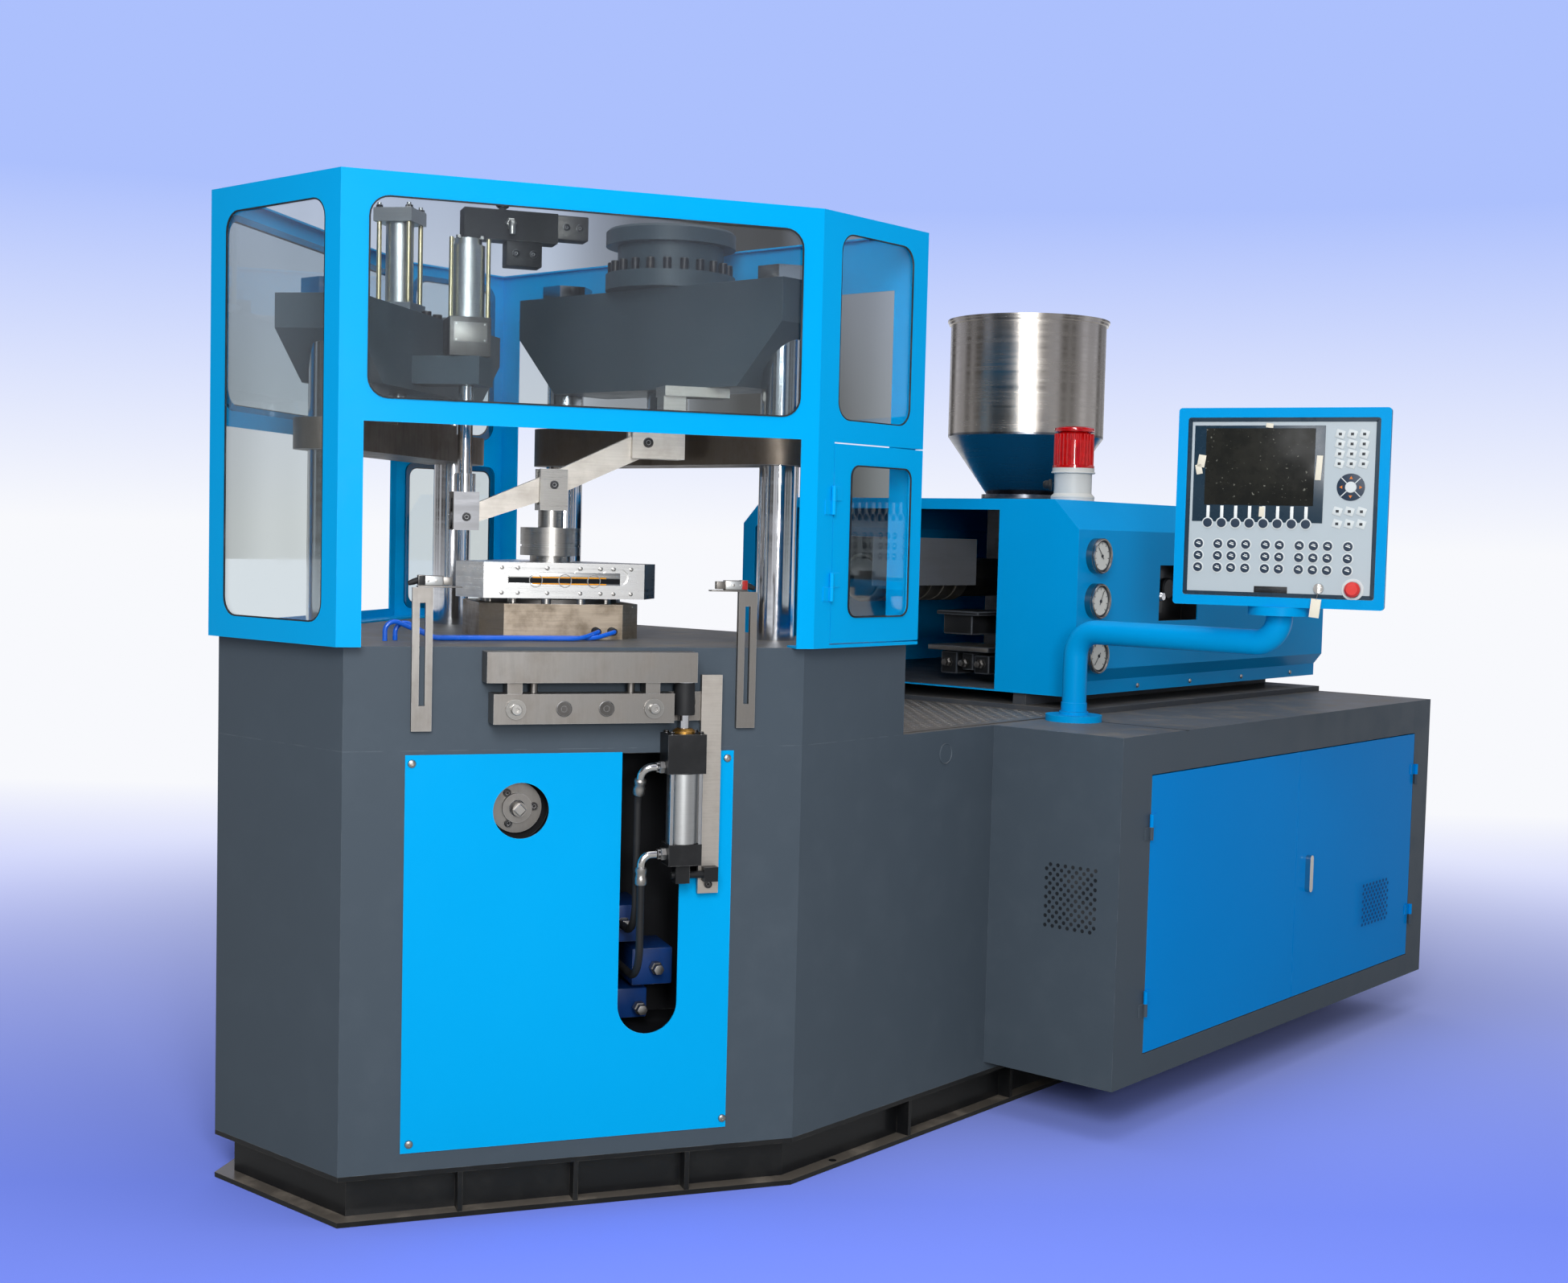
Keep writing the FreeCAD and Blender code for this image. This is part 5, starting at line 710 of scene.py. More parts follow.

# painted shade: thin black linings darken the drive recess and the chamber behind the panel's slot
paintedShadeLook = {"recess": [(0.0682, 0.0004), (0.0697, 0.0004), (0.0697, 0.0597), (0.0522, 0.0597),
                        (0.0522, 0.0590), (0.0682, 0.0590), (0.0682, 0.0004)],
             "x": (0.0403, 0.3067), "y": (0.0005, 0.2597), "z": (0.3303, 0.9377), "thick": 0.001}
(x0, x1), (y0, y1), (z0, z1), thick = paintedShadeLook["x"], paintedShadeLook["y"], paintedShadeLook["z"], paintedShadeLook["thick"]
walls = [((x0, y0, z0), (x0 + thick, y1, z1)), ((x1 - thick, y0, z0), (x1, y1, z1)),
         ((x0, y1 - thick, z0), (x1, y1, z1)), ((x0, y0, z0), (x1, y1, z0 + thick)),
         ((x0, y0, z1 - thick), (x1, y1, z1))]
makePiece("darkLinings", "machine", [paintedShadeBlack], [
    (addTurned, paintedShadeLook["recess"], pointing(shaftX, 0, shaftZ, (0, 1, 0), facePlace), 56),
    *((addBlock, low, high, 0, facePlace) for low, high in walls)])

# hydraulic blocks in the chamber
chamberLook = {"blocks": [(0.10, 0.17, 0.11, 0.52, 0.60), (0.15, 0.24, 0.13, 0.42, 0.50),
                          (0.09, 0.19, 0.15, 0.345, 0.41)],
               "back": 0.257, "plugs": ((0.125, 0.56), (0.20, 0.46), (0.165, 0.375)), "plugDepth": 0.125}
makePiece("valveBlocks", "machine", [blockBlue, boltSteel], [
    *((addBlock, (x0, y0, z0), (x1, chamberLook["back"], z1), 0.004, facePlace)
      for x0, x1, y0, z0, z1 in chamberLook["blocks"]),
    *((addTurned, [(0, 0), (0.014, 0), (0.014, 0.018), (0.011, 0.02), (0.011, 0.034), (0, 0.036)],
       pointing(x, chamberLook["plugDepth"], z, out, facePlace), 6, 1) for x, z in chamberLook["plugs"])])

# tread of the deck
treadLook = {"pitch": 0.0245, "size": 0.0095, "margin": 0.03, "sunk": 0.0002}
low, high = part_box("chequer_deck")
pitch = treadLook["pitch"]
columns, rows = (int((high[k] - low[k] - treadLook["margin"]) / pitch) for k in range(2))
growPiece("deckTread", setInRows, {"Piece": lozenge, "Columns": columns, "Rows": rows, "Pitch across": pitch,
          "Pitch up": pitch, "Alternate turn": math.pi / 2, "Size": treadLook["size"],
          "Material": treadSteel}, "machine", Matrix.Translation(((low.x + high.x) / 2,
              (low.y + high.y) / 2,
                                                  high.z - treadLook["sunk"])))


# window seals
def roundedOutline(x0, x1, z0, z1, corner, steps=6):
    # a closed outline with round corners, lying flat
    centres = [(x1 - corner, z0 + corner, -0.5), (x1 - corner, z1 - corner, 0.0),
               (x0 + corner, z1 - corner, 0.5), (x0 + corner, z0 + corner, 1.0)]
    points = []
    for cx, cz, begin in centres:
        for k in range(steps + 1):
            a = math.pi * (begin + 0.5 * k / steps)
            points.append((cx + corner * math.cos(a), cz + corner * math.sin(a), 0))
    mesh = bpy.data.meshes.new("outline")
    mesh.from_pydata(points, [(k, (k + 1) % len(points)) for k in range(len(points))], [])
    return mesh


def seal(name, outline, y, at, body, width=0.003, depth=0.003, material=sealRubber):
    upright = moved(at, 0, y) @ Matrix.Rotation(math.pi / 2, 4, "X")
    growPiece(name, stripAlong, {"Width": width, "Depth": depth, "Material": material}, body,
              upright, roundedOutline(*outline))


# each window: its outline with the corner's radius, its depth, its side and its body
for name, outline, y, at, body in (
        ("frontWindowSeal", (-0.441, 0.441, 1.638, 2.022, 0.039), -0.034, facePlace, "machine"),
        ("noseWindowSeal", (-0.150, 0.184, 1.201, 2.019, 0.039), -2.1205, machinePlace, "machine"),
        ("sideWindowSeal", (-1.209, -0.958, 1.639, 2.029, 0.039), 0.0015, guardSide, "machine"),
        ("gateWindowSeal", (-1.160, -0.950, 1.220, 1.544, 0.024), -0.0015, guardSide, "guard_door"),
        ("blowWindowSeal", (-0.441, 0.441, 1.638, 2.022, 0.039), -0.009, blowFace, "machine"),
        ("leftWindowSeal", (0.958, 1.209, 1.639, 2.029, 0.039), -0.0055, leftPlace, "machine"),
        ("leftLowSeal", (0.950, 1.222, 1.191, 1.544, 0.024), -0.0055, leftPlace, "machine")):
    seal(name, outline, y, at, body)
print("body dressed")

# index head: pins, and a slot darkened by a black sheet of painted shade, with amber strips, lips and rings
# on each of its three sides
headLook = {"pins": [-0.138, -0.103, -0.039, 0.034, 0.079, 0.108, 0.147], "pin": 0.0042, "pinRise": 0.027,
            "face": -0.1552, "middle": 1.2817, "gap": 0.0058, "lip": 0.0086, "reach": 0.0176, "wide": 0.1226,
            "sheetFace": -0.1537, "plateFace": -0.1547, "stripFace": -0.1551, "ringFoot": -0.1500,
            "back": -0.1490, "seats": (-0.064, 0.0, 0.064), "strip": (-0.072, 0.092), "lap": 0.0008}
middle, wide, reach, gap, lip, lap, back = (
    headLook[key] for key in ("middle", "wide", "reach", "gap", "lip", "lap", "back"))
seatRing = [(0.0128, 0.0), (0.0128, 0.0052), (0.0134, 0.0058), (0.0144, 0.0058), (0.0150, 0.0052),
            (0.0150, 0.0)]
for side in range(3):
    at = place(0.1, -1.45, 0, 60 + 120 * side)
    screws(f"headPins{side}", roundPin, headLook["pin"],
           [(at, x, headLook["face"], middle + rise, out) for x in headLook["pins"]
            for rise in (-headLook["pinRise"], headLook["pinRise"])], "index_table", boltSteel,
            3 + side)
    x0, x1 = headLook["strip"]
    makePiece(f"coreSeats{side}", "index_table", [paintedShadeBlack, amberSeal, groundSteel, boltSteel], [
        # painted shade: the black sheet seen through the slot
        (addBlock, (-wide, headLook["sheetFace"], middle - gap - 0.001), (wide, back, middle + gap + 0.001),
         0.0002, at, 0),
        *((addBlock, (-wide, headLook["plateFace"], middle + low), (wide, back, middle + high), 0.0005, at, 2)
          for low, high in ((-reach, -gap), (gap, reach))),
        *((addBlock, (x0, headLook["stripFace"], middle + low), (x1, back - 0.0002, middle + high), 0.0006,
           at, 1) for low, high in ((-lip, -gap + lap), (gap - lap, lip))),
        *((addTurned, seatRing, pointing(x, headLook["ringFoot"], middle, out, at), 32, 3)
          for x in headLook["seats"])])
studLook = {"count": 12, "circle": 0.146, "profile": [(0, 1.2312), (0.0115, 1.2312), (0.0115, 1.2418),
                                                      (0.0095, 1.2426), (0, 1.2426)]}
studAngles = [2 * math.pi * (k + 0.5) / studLook["count"] for k in range(studLook["count"])]
makePiece("ringStuds", "machine", [turnedSteel], [
    (addTurned, studLook["profile"], moved(injectPlace, studLook["circle"] * math.cos(a),
     studLook["circle"] * math.sin(a)), 16) for a in studAngles])
collarLook = {"screw": 0.0045, "row": (0.056, 1.382, 6)}
screws("collarScrews", capScrew, collarLook["screw"], roundRow(injectPlace, *collarLook["row"]),
       "index_table", boltBlack)

# clamps and heads; a row is its radius, height and count
clampLook = {"injection": 0.366, "blow": 0.3655, "bolt": 0.0098, "bolts": (0.1385, 1.994, 22),
             "foot": 0.011, "feet": (0.085, 1.861, 8), "footTurn": 0.39, "nut": 0.0085, "nutTop": 2.1,
             "rod": (0.0056, 1.888, 2.083), "aside": (-0.035, 0.035)}
rodSpots = [(dx, clampLook["blow"] + dy) for dx in clampLook["aside"] for dy in clampLook["aside"]]
screws("cylinderBolts", tallHead, clampLook["bolt"],
       roundRow(injectPlace, *clampLook["bolts"], y=clampLook["injection"]), "machine", boltBlack)
screws("blowNuts", hexBolt, clampLook["nut"],
       [(blowPlace, x, y, clampLook["nutTop"], up) for x, y in rodSpots], "machine", boltBlack)
screws("blowFootBolts", capScrew, clampLook["foot"],
       roundRow(blowPlace, *clampLook["feet"], y=clampLook["blow"], start=clampLook["footTurn"]), "machine",
       boltBlack)
makePiece("blowTieRods", "machine", [paleBrass], [
    (addTurned, rod(*clampLook["rod"]), moved(blowPlace, x, y), 12) for x, y in rodSpots])
# pin heads of the lever: body, middle and radius of each
for name, body, x, y, z, radius in (("post", "lift_post", 0.0, -0.030, 1.4913, 0.0095),
                                    ("pivot", "machine", 0.214, -0.028, 1.593, 0.0115),
                                    ("rod", "lift_rod", -0.194, -0.030, 1.415, 0.0095)):
    makePiece(name + "PinHead", body, [boltBlack], [
        (addTurned, [(0, 0), (radius, 0), (radius, 0.003), (radius * 0.86, 0.0042), (radius * 0.45, 0.0042),
                     (radius * 0.42, 0.0016), (0, 0.0016)], pointing(x, y, z, out, turretPlace), 28)])
print("stations dressed")

# lift cylinder and manifold
liftPlace = moved(turretPlace, -0.194, 0)
liftLook = {"bolt": (0.006, 2.018, 2.024), "boltSpots": ((-0.025, -0.025), (0.025, -0.025), (-0.025, 0.025),
            (0.025, 0.025)), "elbow": 0.086, "ports": ((0.100, -0.027, 1.993), (0.138, -0.027, 1.993),
            (0.212, -0.024, 2.058), (0.242, -0.024, 2.058)),
            "valves": (((0.080, -0.027, 1.966), (0.158, 0.027, 2.0205)),
                       ((0.191, -0.024, 2.031), (0.262, 0.026, 2.084)))}
elbow = liftLook["elbow"]
makePiece("manifoldFittings", "machine", [boltSteel], [
    *((addTurned, rod(*liftLook["bolt"]), moved(liftPlace, x, y), 6) for x, y in liftLook["boltSpots"]),
    (addTube, [(elbow, -0.031, 2.055), (elbow, -0.054, 2.055), (elbow, -0.054, 2.030)], 0.0075, 12,
     liftPlace),
    (addTurned, [(0, 0), (0.013, 0), (0.013, 0.010), (0.010, 0.013), (0, 0.013)],
     pointing(elbow, -0.030, 2.055, out, liftPlace), 6)])
makePiece("valveBlocksTop", "machine", [blackAnodised, darkSteel, boltBlack], [
    *((addBlock, low, high, 0.002, liftPlace, k) for k, (low, high) in enumerate(liftLook["valves"])),
    *((addTurned, [(0, 0), (0.008, 0), (0.008, 0.003), (0.006, 0.004), (0.003, 0.004), (0.003, 0.002),
                   (0, 0.002)], pointing(x, y, z, out, liftPlace), 20, 2) for x, y, z in liftLook["ports"])])
footLook = {"half": 0.045, "low": 1.7634, "high": 1.848, "plate": 0.0015, "rods": (0.0405, -0.024, 0.0048),
            "rivet": [(0, 0), (0.002, 0), (0.0018, 0.0009), (0, 0.0012)]}
half, low, high, plate = (footLook[key] for key in ("half", "low", "high", "plate"))
dx, dy, radius = footLook["rods"]
makePiece("liftFoot", "machine", [darkSteel, plateSteel, boltSteel, paleBrass], [
    (addBlock, (-half, -half, low), (half, half, high), 0.002, liftPlace, 0),
    (addBlock, (-0.036, -half - plate, low + 0.030), (0.036, -half, high - 0.012), 0.0006, liftPlace, 1),
    *((addTurned, footLook["rivet"], pointing(x, -half - plate, z, out, liftPlace), 10, 2)
      for x in (-0.031, 0.031) for z in (low + 0.034, high - 0.016)),
    *((addTurned, rod(radius, high - 0.001, 2.019), moved(liftPlace, way * dx, dy), 14, 3)
      for way in (-1, 1))])

# connectors on the ends of the air hoses
connectorLook = {"x": (0.106, 0.070), "face": -0.1506, "rise": 0.018}
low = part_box("index_base")[0].z + connectorLook["rise"]
makePiece("airConnectors", "machine", [sealRubber], [
    (addTurned, [(0, 0), (0.0092, 0), (0.0092, 0.008), (0.0078, 0.0095), (0.0078, 0.026), (0.0066, 0.028),
                 (0, 0.028)], pointing(x, connectorLook["face"], low, out, turretPlace), 20)
                 for x in connectorLook["x"]])

# sensors on their bars; each block: from and to along the bar, depths, heights, bevel and material
sensorLook = {"blocks": ((0.002, 0.050, -0.010, 0.009, 1.2752, 1.2955, 0.0015, 1),
                         (0.050, 0.068, -0.008, 0.007, 1.2770, 1.2930, 0.001, 0),
                         (0.001, 0.015, -0.0108, 0.0095, 1.2760, 1.2962, 0.001, 2)),
              "plate": (-0.012, 0.012, 1.2722, 1.2750), "screws": (0.018, 0.034)}
near, far = sensorLook["blocks"][0][:2]
y0, y1, z0, z1 = sensorLook["plate"]
for tag, x0, x1, way, tip in (("left", -0.337, -0.249, 1, blackAnodised),
                              ("right", 0.266, 0.346, -1, sensorRed)):
    outer = x0 if way > 0 else x1
    forms = [(addBlock, (x0, y0, z0), (x1, y1, z1), 0.0008, facePlace, 0)]
    for begin, end, front, rear, low, high, bevel, material in sensorLook["blocks"]:
        a, b = sorted((outer + way * begin, outer + way * end))
        forms.append((addBlock, (a, front, low), (b, rear, high), bevel, facePlace, material))
    body = min(outer + way * near, outer + way * far)
    for step in sensorLook["screws"]:
        forms.append((addTurned, [(0, 0), (0.003, 0), (0.0028, 0.0014), (0, 0.002)],
                      pointing(body + step, -0.010, 1.2855, out, facePlace), 10, 3))
    forms.append((addTurned, [(0, 0), (0.0062, 0), (0.0062, 0.010), (0.0045, 0.020), (0.0032, 0.021),
                              (0, 0.021)], pointing(outer + way * near, 0.0, 1.286, (-way, 0, -0.35),
                                                    facePlace), 12, 4))
    makePiece(f"sensor_{tag}", "machine", [plateSteel, aluminium, tip, boltSteel, rubber], forms)

# stripper
stripLook = {"cylinder": (0.205, -0.037), "tube": (0.0328, 0.7556, 0.8994), "rod": (0.0042, 0.7552, 0.8998),
             "rods": 0.0305, "rodDepth": 0.0265, "hoseZ": (0.912, 0.733), "nutX": (0.164, 0.170),
             "cornerScrew": 0.0055, "cornerTop": 0.981, "corners": [(dx, dy) for dx in (-0.031, 0.031)
             for dy in (-0.021, 0.021)], "cap": 0.0105, "capX": (-0.1495, 0.1335), "capFace": -0.066,
             "plugX": (-0.0515, 0.0355), "plugFace": -0.0600, "plateZ": 1.035,
             "barScrew": (0.268, -0.024, 0.664)}
cx, cy = stripLook["cylinder"]
cylinderPlace = moved(facePlace, cx, cy)
makePiece("cylinderTube", "stripper_slide", [aluminium, chromeBar], [
    (addTurned, rod(*stripLook["tube"]), cylinderPlace, 40, 0),
    *((addTurned, rod(*stripLook["rod"]), moved(facePlace, cx + way * stripLook["rods"],
       cy - stripLook["rodDepth"]), 12, 1) for way in (-1, 1))])
makePiece("rodWiper", "stripper_slide", [brass], [
    (addTurned, [(0, 0.9812), (0.0235, 0.9812), (0.0235, 0.9862), (0.017, 0.9915), (0.0116, 0.9915),
                 (0.0112, 0.9812)], cylinderPlace, 32)])
screws("cylinderCornerScrews", capScrew, stripLook["cornerScrew"],
       [(facePlace, cx + dx, cy + dy, stripLook["cornerTop"], up) for dx, dy in stripLook["corners"]],
       "stripper_slide", boltBlack)
screws("carriageCaps", capScrew, stripLook["cap"],
       [(facePlace, x, stripLook["capFace"], stripLook["plateZ"], out) for x in stripLook["capX"]],
       "stripper_slide", boltSteel)
makePiece("hoseNuts", "stripper_slide", [boltSteel], [
    (addTurned, [(0, 0), (0.0135, 0), (0.0135, 0.009), (0.0112, 0.011), (0.0112, 0.0165), (0.0, 0.0165)],
     pointing(x, cy, z, (-1, 0, 0), facePlace), 6) for z, x in zip(stripLook["hoseZ"], stripLook["nutX"])])


def elbowPoints(corner, before, after, radius, steps=10):
    # points of a rigid elbow that is tangent to its two straight ends
    reach = radius * math.tan(before.angle(after) / 2)
    centre = corner + (after - before).normalized() * (reach * reach + radius * radius) ** 0.5
    begin = (corner - before * reach - centre).normalized()
    end = (corner + after * reach - centre).normalized()
    return [centre + begin.slerp(end, k / steps) * radius for k in range(steps + 1)]


elbowLook = {"corners": ((0.118, (0, 0.029, -0.072)), (0.120, (0, 0, -1))), "start": 0.031, "end": 0.030,
             "bend": 0.022, "radius": 0.0088, "ferruleAt": 0.026,
             "ferrule": [(0, 0), (0.0098, 0), (0.0122, 0.003), (0.0122, 0.010), (0.0112, 0.012),
                         (0.0112, 0.020), (0.0122, 0.022), (0.0122, 0.034), (0.0104, 0.037), (0, 0.037)]}
forms = []
for z, (x, way) in zip(stripLook["hoseZ"], elbowLook["corners"]):
    corner, after = Vector((x, cy, z)), Vector(way).normalized()
    bend = elbowPoints(corner, Vector((-1, 0, 0)), after, elbowLook["bend"])
    path = [corner + Vector((elbowLook["start"], 0, 0)), *bend, corner + after * elbowLook["end"]]
    forms.append((addTube, path, elbowLook["radius"], 16, facePlace, 0, 1))
    ferrulePlace = pointing(*(corner + after * elbowLook["ferruleAt"]), after, facePlace)
    forms.append((addTurned, elbowLook["ferrule"], ferrulePlace, 24, 1))
makePiece("hoseElbows", "stripper_slide", [brightSteel, boltSteel], forms)
makePiece("rodSleeve", "stripper_lift", [rubber], [
    (addTurned, [(0.0102, 1.0195), (0.0215, 1.0195), (0.0222, 1.026), (0.0214, 1.036), (0.0222, 1.046),
                 (0.0212, 1.056), (0.0206, 1.086), (0.0102, 1.086), (0.0102, 1.0195)], cylinderPlace, 36)])
makePiece("portPlugs", "stripper_slide", [darkSteel], [
    (addTurned, [(0, 0), (0.0160, 0), (0.0160, 0.0016), (0.0150, 0.0020), (0.0144, 0.0010), (0.0062, 0.0010),
                 (0.0058, 0.0004), (0, 0.0004)],
     pointing(x, stripLook["plugFace"], stripLook["plateZ"], out, facePlace), 32)
     for x in stripLook["plugX"]])
makePiece("barScrew", "stripper_slide", [boltBlack], [
    (addTurned, [(0, 0), (0.0085, 0), (0.0085, 0.004), (0.0074, 0.005), (0.004, 0.005), (0.0036, 0.002),
                 (0, 0.002)], pointing(*stripLook["barScrew"], out, facePlace), 24)])
print("stripper dressed")

# cabinet: punched vents in its front and in the rear door, drawn as dots whose dark colour is painted shade
# in the holes
ventLook = {"up": 0.0112, "hole": 0.0048}
for name, columns, rows, across, material, at, body in (
        ("cabinetVents", 7, 14, 0.0205, sealRubber, place(0.916, -0.5432, 0.560), "machine"),
        ("doorVents", 8, 11, 0.0225, ventHoleShade, place(1.0603, 0.878, 0.383, 90), "cabinet_door_rear")):
    growPiece(name, setInRows, {"Piece": punchedHole, "Columns": columns, "Rows": rows,
                                "Pitch across": across, "Pitch up": ventLook["up"], "Row shift": 0.5,
                                "Size": ventLook["hole"], "Material": material},
              body, at @ Matrix.Rotation(math.pi / 2, 4, "X"))
seam = ((0.70, -0.2512, 0.9472), (1.058, -0.2488, 0.9486))
makePiece("topSeam", "machine", [sealRubber], [(addBlock, *seam, 0.0004)])

# mounting plate with rows of plain modules behind the doors
moduleLook = {"rows": ((0.30, 44, blackAnodised), (0.47, 36, palePlastic), (0.64, 52, blackAnodised)),
              "pitch": 0.0185, "rail": (-0.34, 1.08, 0.316, 0.0175), "trunk": (0.285, 0.062, 0.092)}
x0, x1, rail, half = moduleLook["rail"]
trunk, below, above = moduleLook["trunk"]
forms = [(addBlock, (-0.38, 0.325, 0.215), (1.12, 0.329, 0.82), 0.001, cabinetPlace, 0)]
for z, columns, material in moduleLook["rows"]:
    forms.append((addBlock, (x0, rail, z - half), (x1, 0.325, z + half), 0.001, cabinetPlace, 1))
    forms.append((addBlock, (x0, trunk, z + below), (x1, 0.325, z + above), 0.002, cabinetPlace, 2))
makePiece("mountingPlate", "machine", [palePlastic, boltSteel, facePlastic], forms)
for k, (z, columns, material) in enumerate(moduleLook["rows"]):
    growPiece(f"modules{k}", setInRows, {"Piece": module, "Columns": columns, "Rows": 1,
              "Pitch across": moduleLook["pitch"], "Pitch up": 0.1, "Material": material}, "machine",
              moved(cabinetPlace, 0.30, rail, z))

# injection unit
bandLook = {"Radius": 0.0605, "Width": 0.052, "Pitch": 0.060, "Count": 7, "Thickness": 0.008,
            "Material": bandSteel}
barrelStart = (0.1, -0.300, 1.285)
growPiece("heaterBands", bandsAlong, bandLook, "injection_unit", pointing(*barrelStart, (0, 1, 0)))
housingLook = {"screw": 0.0065, "z": 1.012, "y": (-0.13, 0.16, 0.45, 0.76, 1.08)}
screws("housingScrews", buttonScrew, housingLook["screw"],
       [(housingPlace, y, 0, housingLook["z"], out) for y in housingLook["y"]], "injection_unit",
       boltSteel)
feedLook = {"walls": ((0.255, 0.258, 1.178, 1.343), (0.487, 0.490, 1.178, 1.343),
                      (0.255, 0.490, 1.178, 1.181), (0.255, 0.490, 1.340, 1.343)), "back": 0.055}
back = feedLook["back"]
makePiece("feedControl", "injection_unit", [blackPaint, chromeBar, blackAnodised], [
    (addBlock, (0.255, back, 1.178), (0.490, 0.058, 1.343), 0.001, housingPlace, 0),
    *((addBlock, (x0, 0.0032, z0), (x1, 0.056, z1), 0.0008, housingPlace, 0)
      for x0, x1, z0, z1 in feedLook["walls"]),
    (addTurned, [(0, 0), (0.010, 0), (0.010, 0.006), (0.0055, 0.008), (0.0055, 0.030), (0.0125, 0.034),
                 (0.0135, 0.042), (0.010, 0.048), (0, 0.049)],
                 pointing(0.299, back, 1.250, out, housingPlace), 24, 1),
    (addTurned, [(0, 0), (0.030, 0), (0.030, 0.012), (0.026, 0.016), (0, 0.016)],
     pointing(0.385, back, 1.270, out, housingPlace), 32, 2)])

# inside the housing: floor sheet, black fittings on a shelf under the barrel
insideLook = {"floor": ((-0.44, -0.145, 0.9975), (0.64, 1.29, 0.9990)),
              "shelf": ((0.135, -0.06, 1.086), (0.338, 0.135, 1.100)),
              "black": [((0.165, -0.03, 1.130), (0.262, 0.11, 1.186)),
                        ((0.150, -0.045, 1.184), (0.292, 0.125, 1.196)),
                        ((0.160, -0.03, 1.020), (0.215, 0.09, 1.082)),
                        ((0.225, -0.02, 1.032), (0.262, 0.09, 1.080)),
                        ((0.272, -0.03, 1.024), (0.322, 0.09, 1.076))], "nuts": (0.187, 0.243, 0.297)}
makePiece("underBarrel", "injection_unit", [floorPlate, plateSteel, blackAnodised], [
    (addBlock, *insideLook["floor"], 0.0005, machinePlace, 0),
    (addBlock, *insideLook["shelf"], 0.002, machinePlace, 1),
    *((addBlock, low, high, 0.004, machinePlace, 2) for low, high in insideLook["black"]),
    *((addTurned, [(0, 0), (0.013, 0), (0.013, 0.010), (0.009, 0.014), (0.009, 0.024), (0, 0.026)],
       pointing(x, -0.03, 1.052, out), 6, 1) for x in insideLook["nuts"])])

# beacon: ribbed lens, cap and cable gland
beacon = place(0.540, 0.020)
beaconLook = {"ribs": (0.0502, 1.640, 28), "gland": (-0.0505, -0.026, 1.545), "glandWay": (-0.9, -0.42, 0),
              "beads": (1.512, 1.578)}
growPiece("lensRibs", setOnPoints, {"Piece": rib, "Size": 1.0, "Material": redLens}, "injection_unit",
          source=pointMesh(roundRow(beacon, *beaconLook["ribs"])))
makePiece("lensRims", "injection_unit", [redLens], [
    (addTurned, [(0, 1.690), (0.047, 1.690), (0.052, 1.686), (0.0535, 1.690), (0.0525, 1.6955),
                 (0.044, 1.699), (0, 1.700)], beacon, 40),
    (addTurned, [(0, 1.5905), (0.0555, 1.5905), (0.0555, 1.5965), (0.0515, 1.5985), (0, 1.5985)], beacon,
     40)])
makePiece("cableGland", "injection_unit", [rubber], [
    (addTurned, [(0, 0), (0.0155, 0), (0.0155, 0.006), (0.012, 0.008), (0.012, 0.016), (0.0085, 0.022),
                 (0, 0.023)], pointing(*beaconLook["gland"], beaconLook["glandWay"], beacon), 20)])
makePiece("baseBeads", "injection_unit", [palePlastic], [
    (addTurned, [(0.0572, z - 0.0022), (0.0582, z - 0.0012), (0.0582, z + 0.0012), (0.0572, z + 0.0022)],
     beacon, 48) for z in beaconLook["beads"]])

# gauges: dial, ticks, pointer and bezel
gaugeLook = {"spots": ((1.359, 2.3), (1.242, 1.1), (1.100, 4.0)), "y": -0.078, "face": 0.020,
             "sweep": (-0.785, 4.712), "ticks": (("fine", 41, 0.0040, 0.0009), ("long", 9, 0.0080, 0.0018))}
start, sweep = gaugeLook["sweep"]
for k, (z, angle) in enumerate(gaugeLook["spots"]):
    at = pointing(gaugeLook["y"], -gaugeLook["face"], z, out, housingPlace)
    makePiece(f"gaugeFace{k}", "injection_unit", [dialWhite, gaugeSteel, markDark], [
        (addTurned, rod(0.0360, 0.0001, 0.0006), at, 48, 0),
        (addTurned, [(0.0360, 0.0001), (0.0396, 0.0001), (0.0396, 0.0012), (0.0360, 0.0010),
                     (0.0360, 0.0001)], at, 48, 2),
        (addTurned, [(0.0395, 0.0001), (0.0458, 0.0001), (0.0458, 0.004), (0.0438, 0.0062), (0.041, 0.0052),
                     (0.0395, 0.0012), (0.0395, 0.0001)], at, 48, 1),
        (addBlock, (-0.011, -0.0015, 0.0016), (0.030, 0.0015, 0.0022), 0.0002,
         at @ Matrix.Rotation(angle, 4, "Z"), 2),
        (addTurned, [(0, 0.0006), (0.0042, 0.0006), (0.0042, 0.003), (0.003, 0.0036), (0, 0.0036)], at, 20,
         2)])
    for tag, count, length, width in gaugeLook["ticks"]:
        growPiece(f"gaugeTicks{tag}{k}", ticksRound, {"Count": count, "Radius": 0.0352 - length / 2 + 0.0015,
                  "Length": length, "Width": width, "Start": start, "Sweep": sweep, "Material": markDark},
                  "injection_unit", moved(at, 0, 0, 0.0008))
print("injection unit dressed")

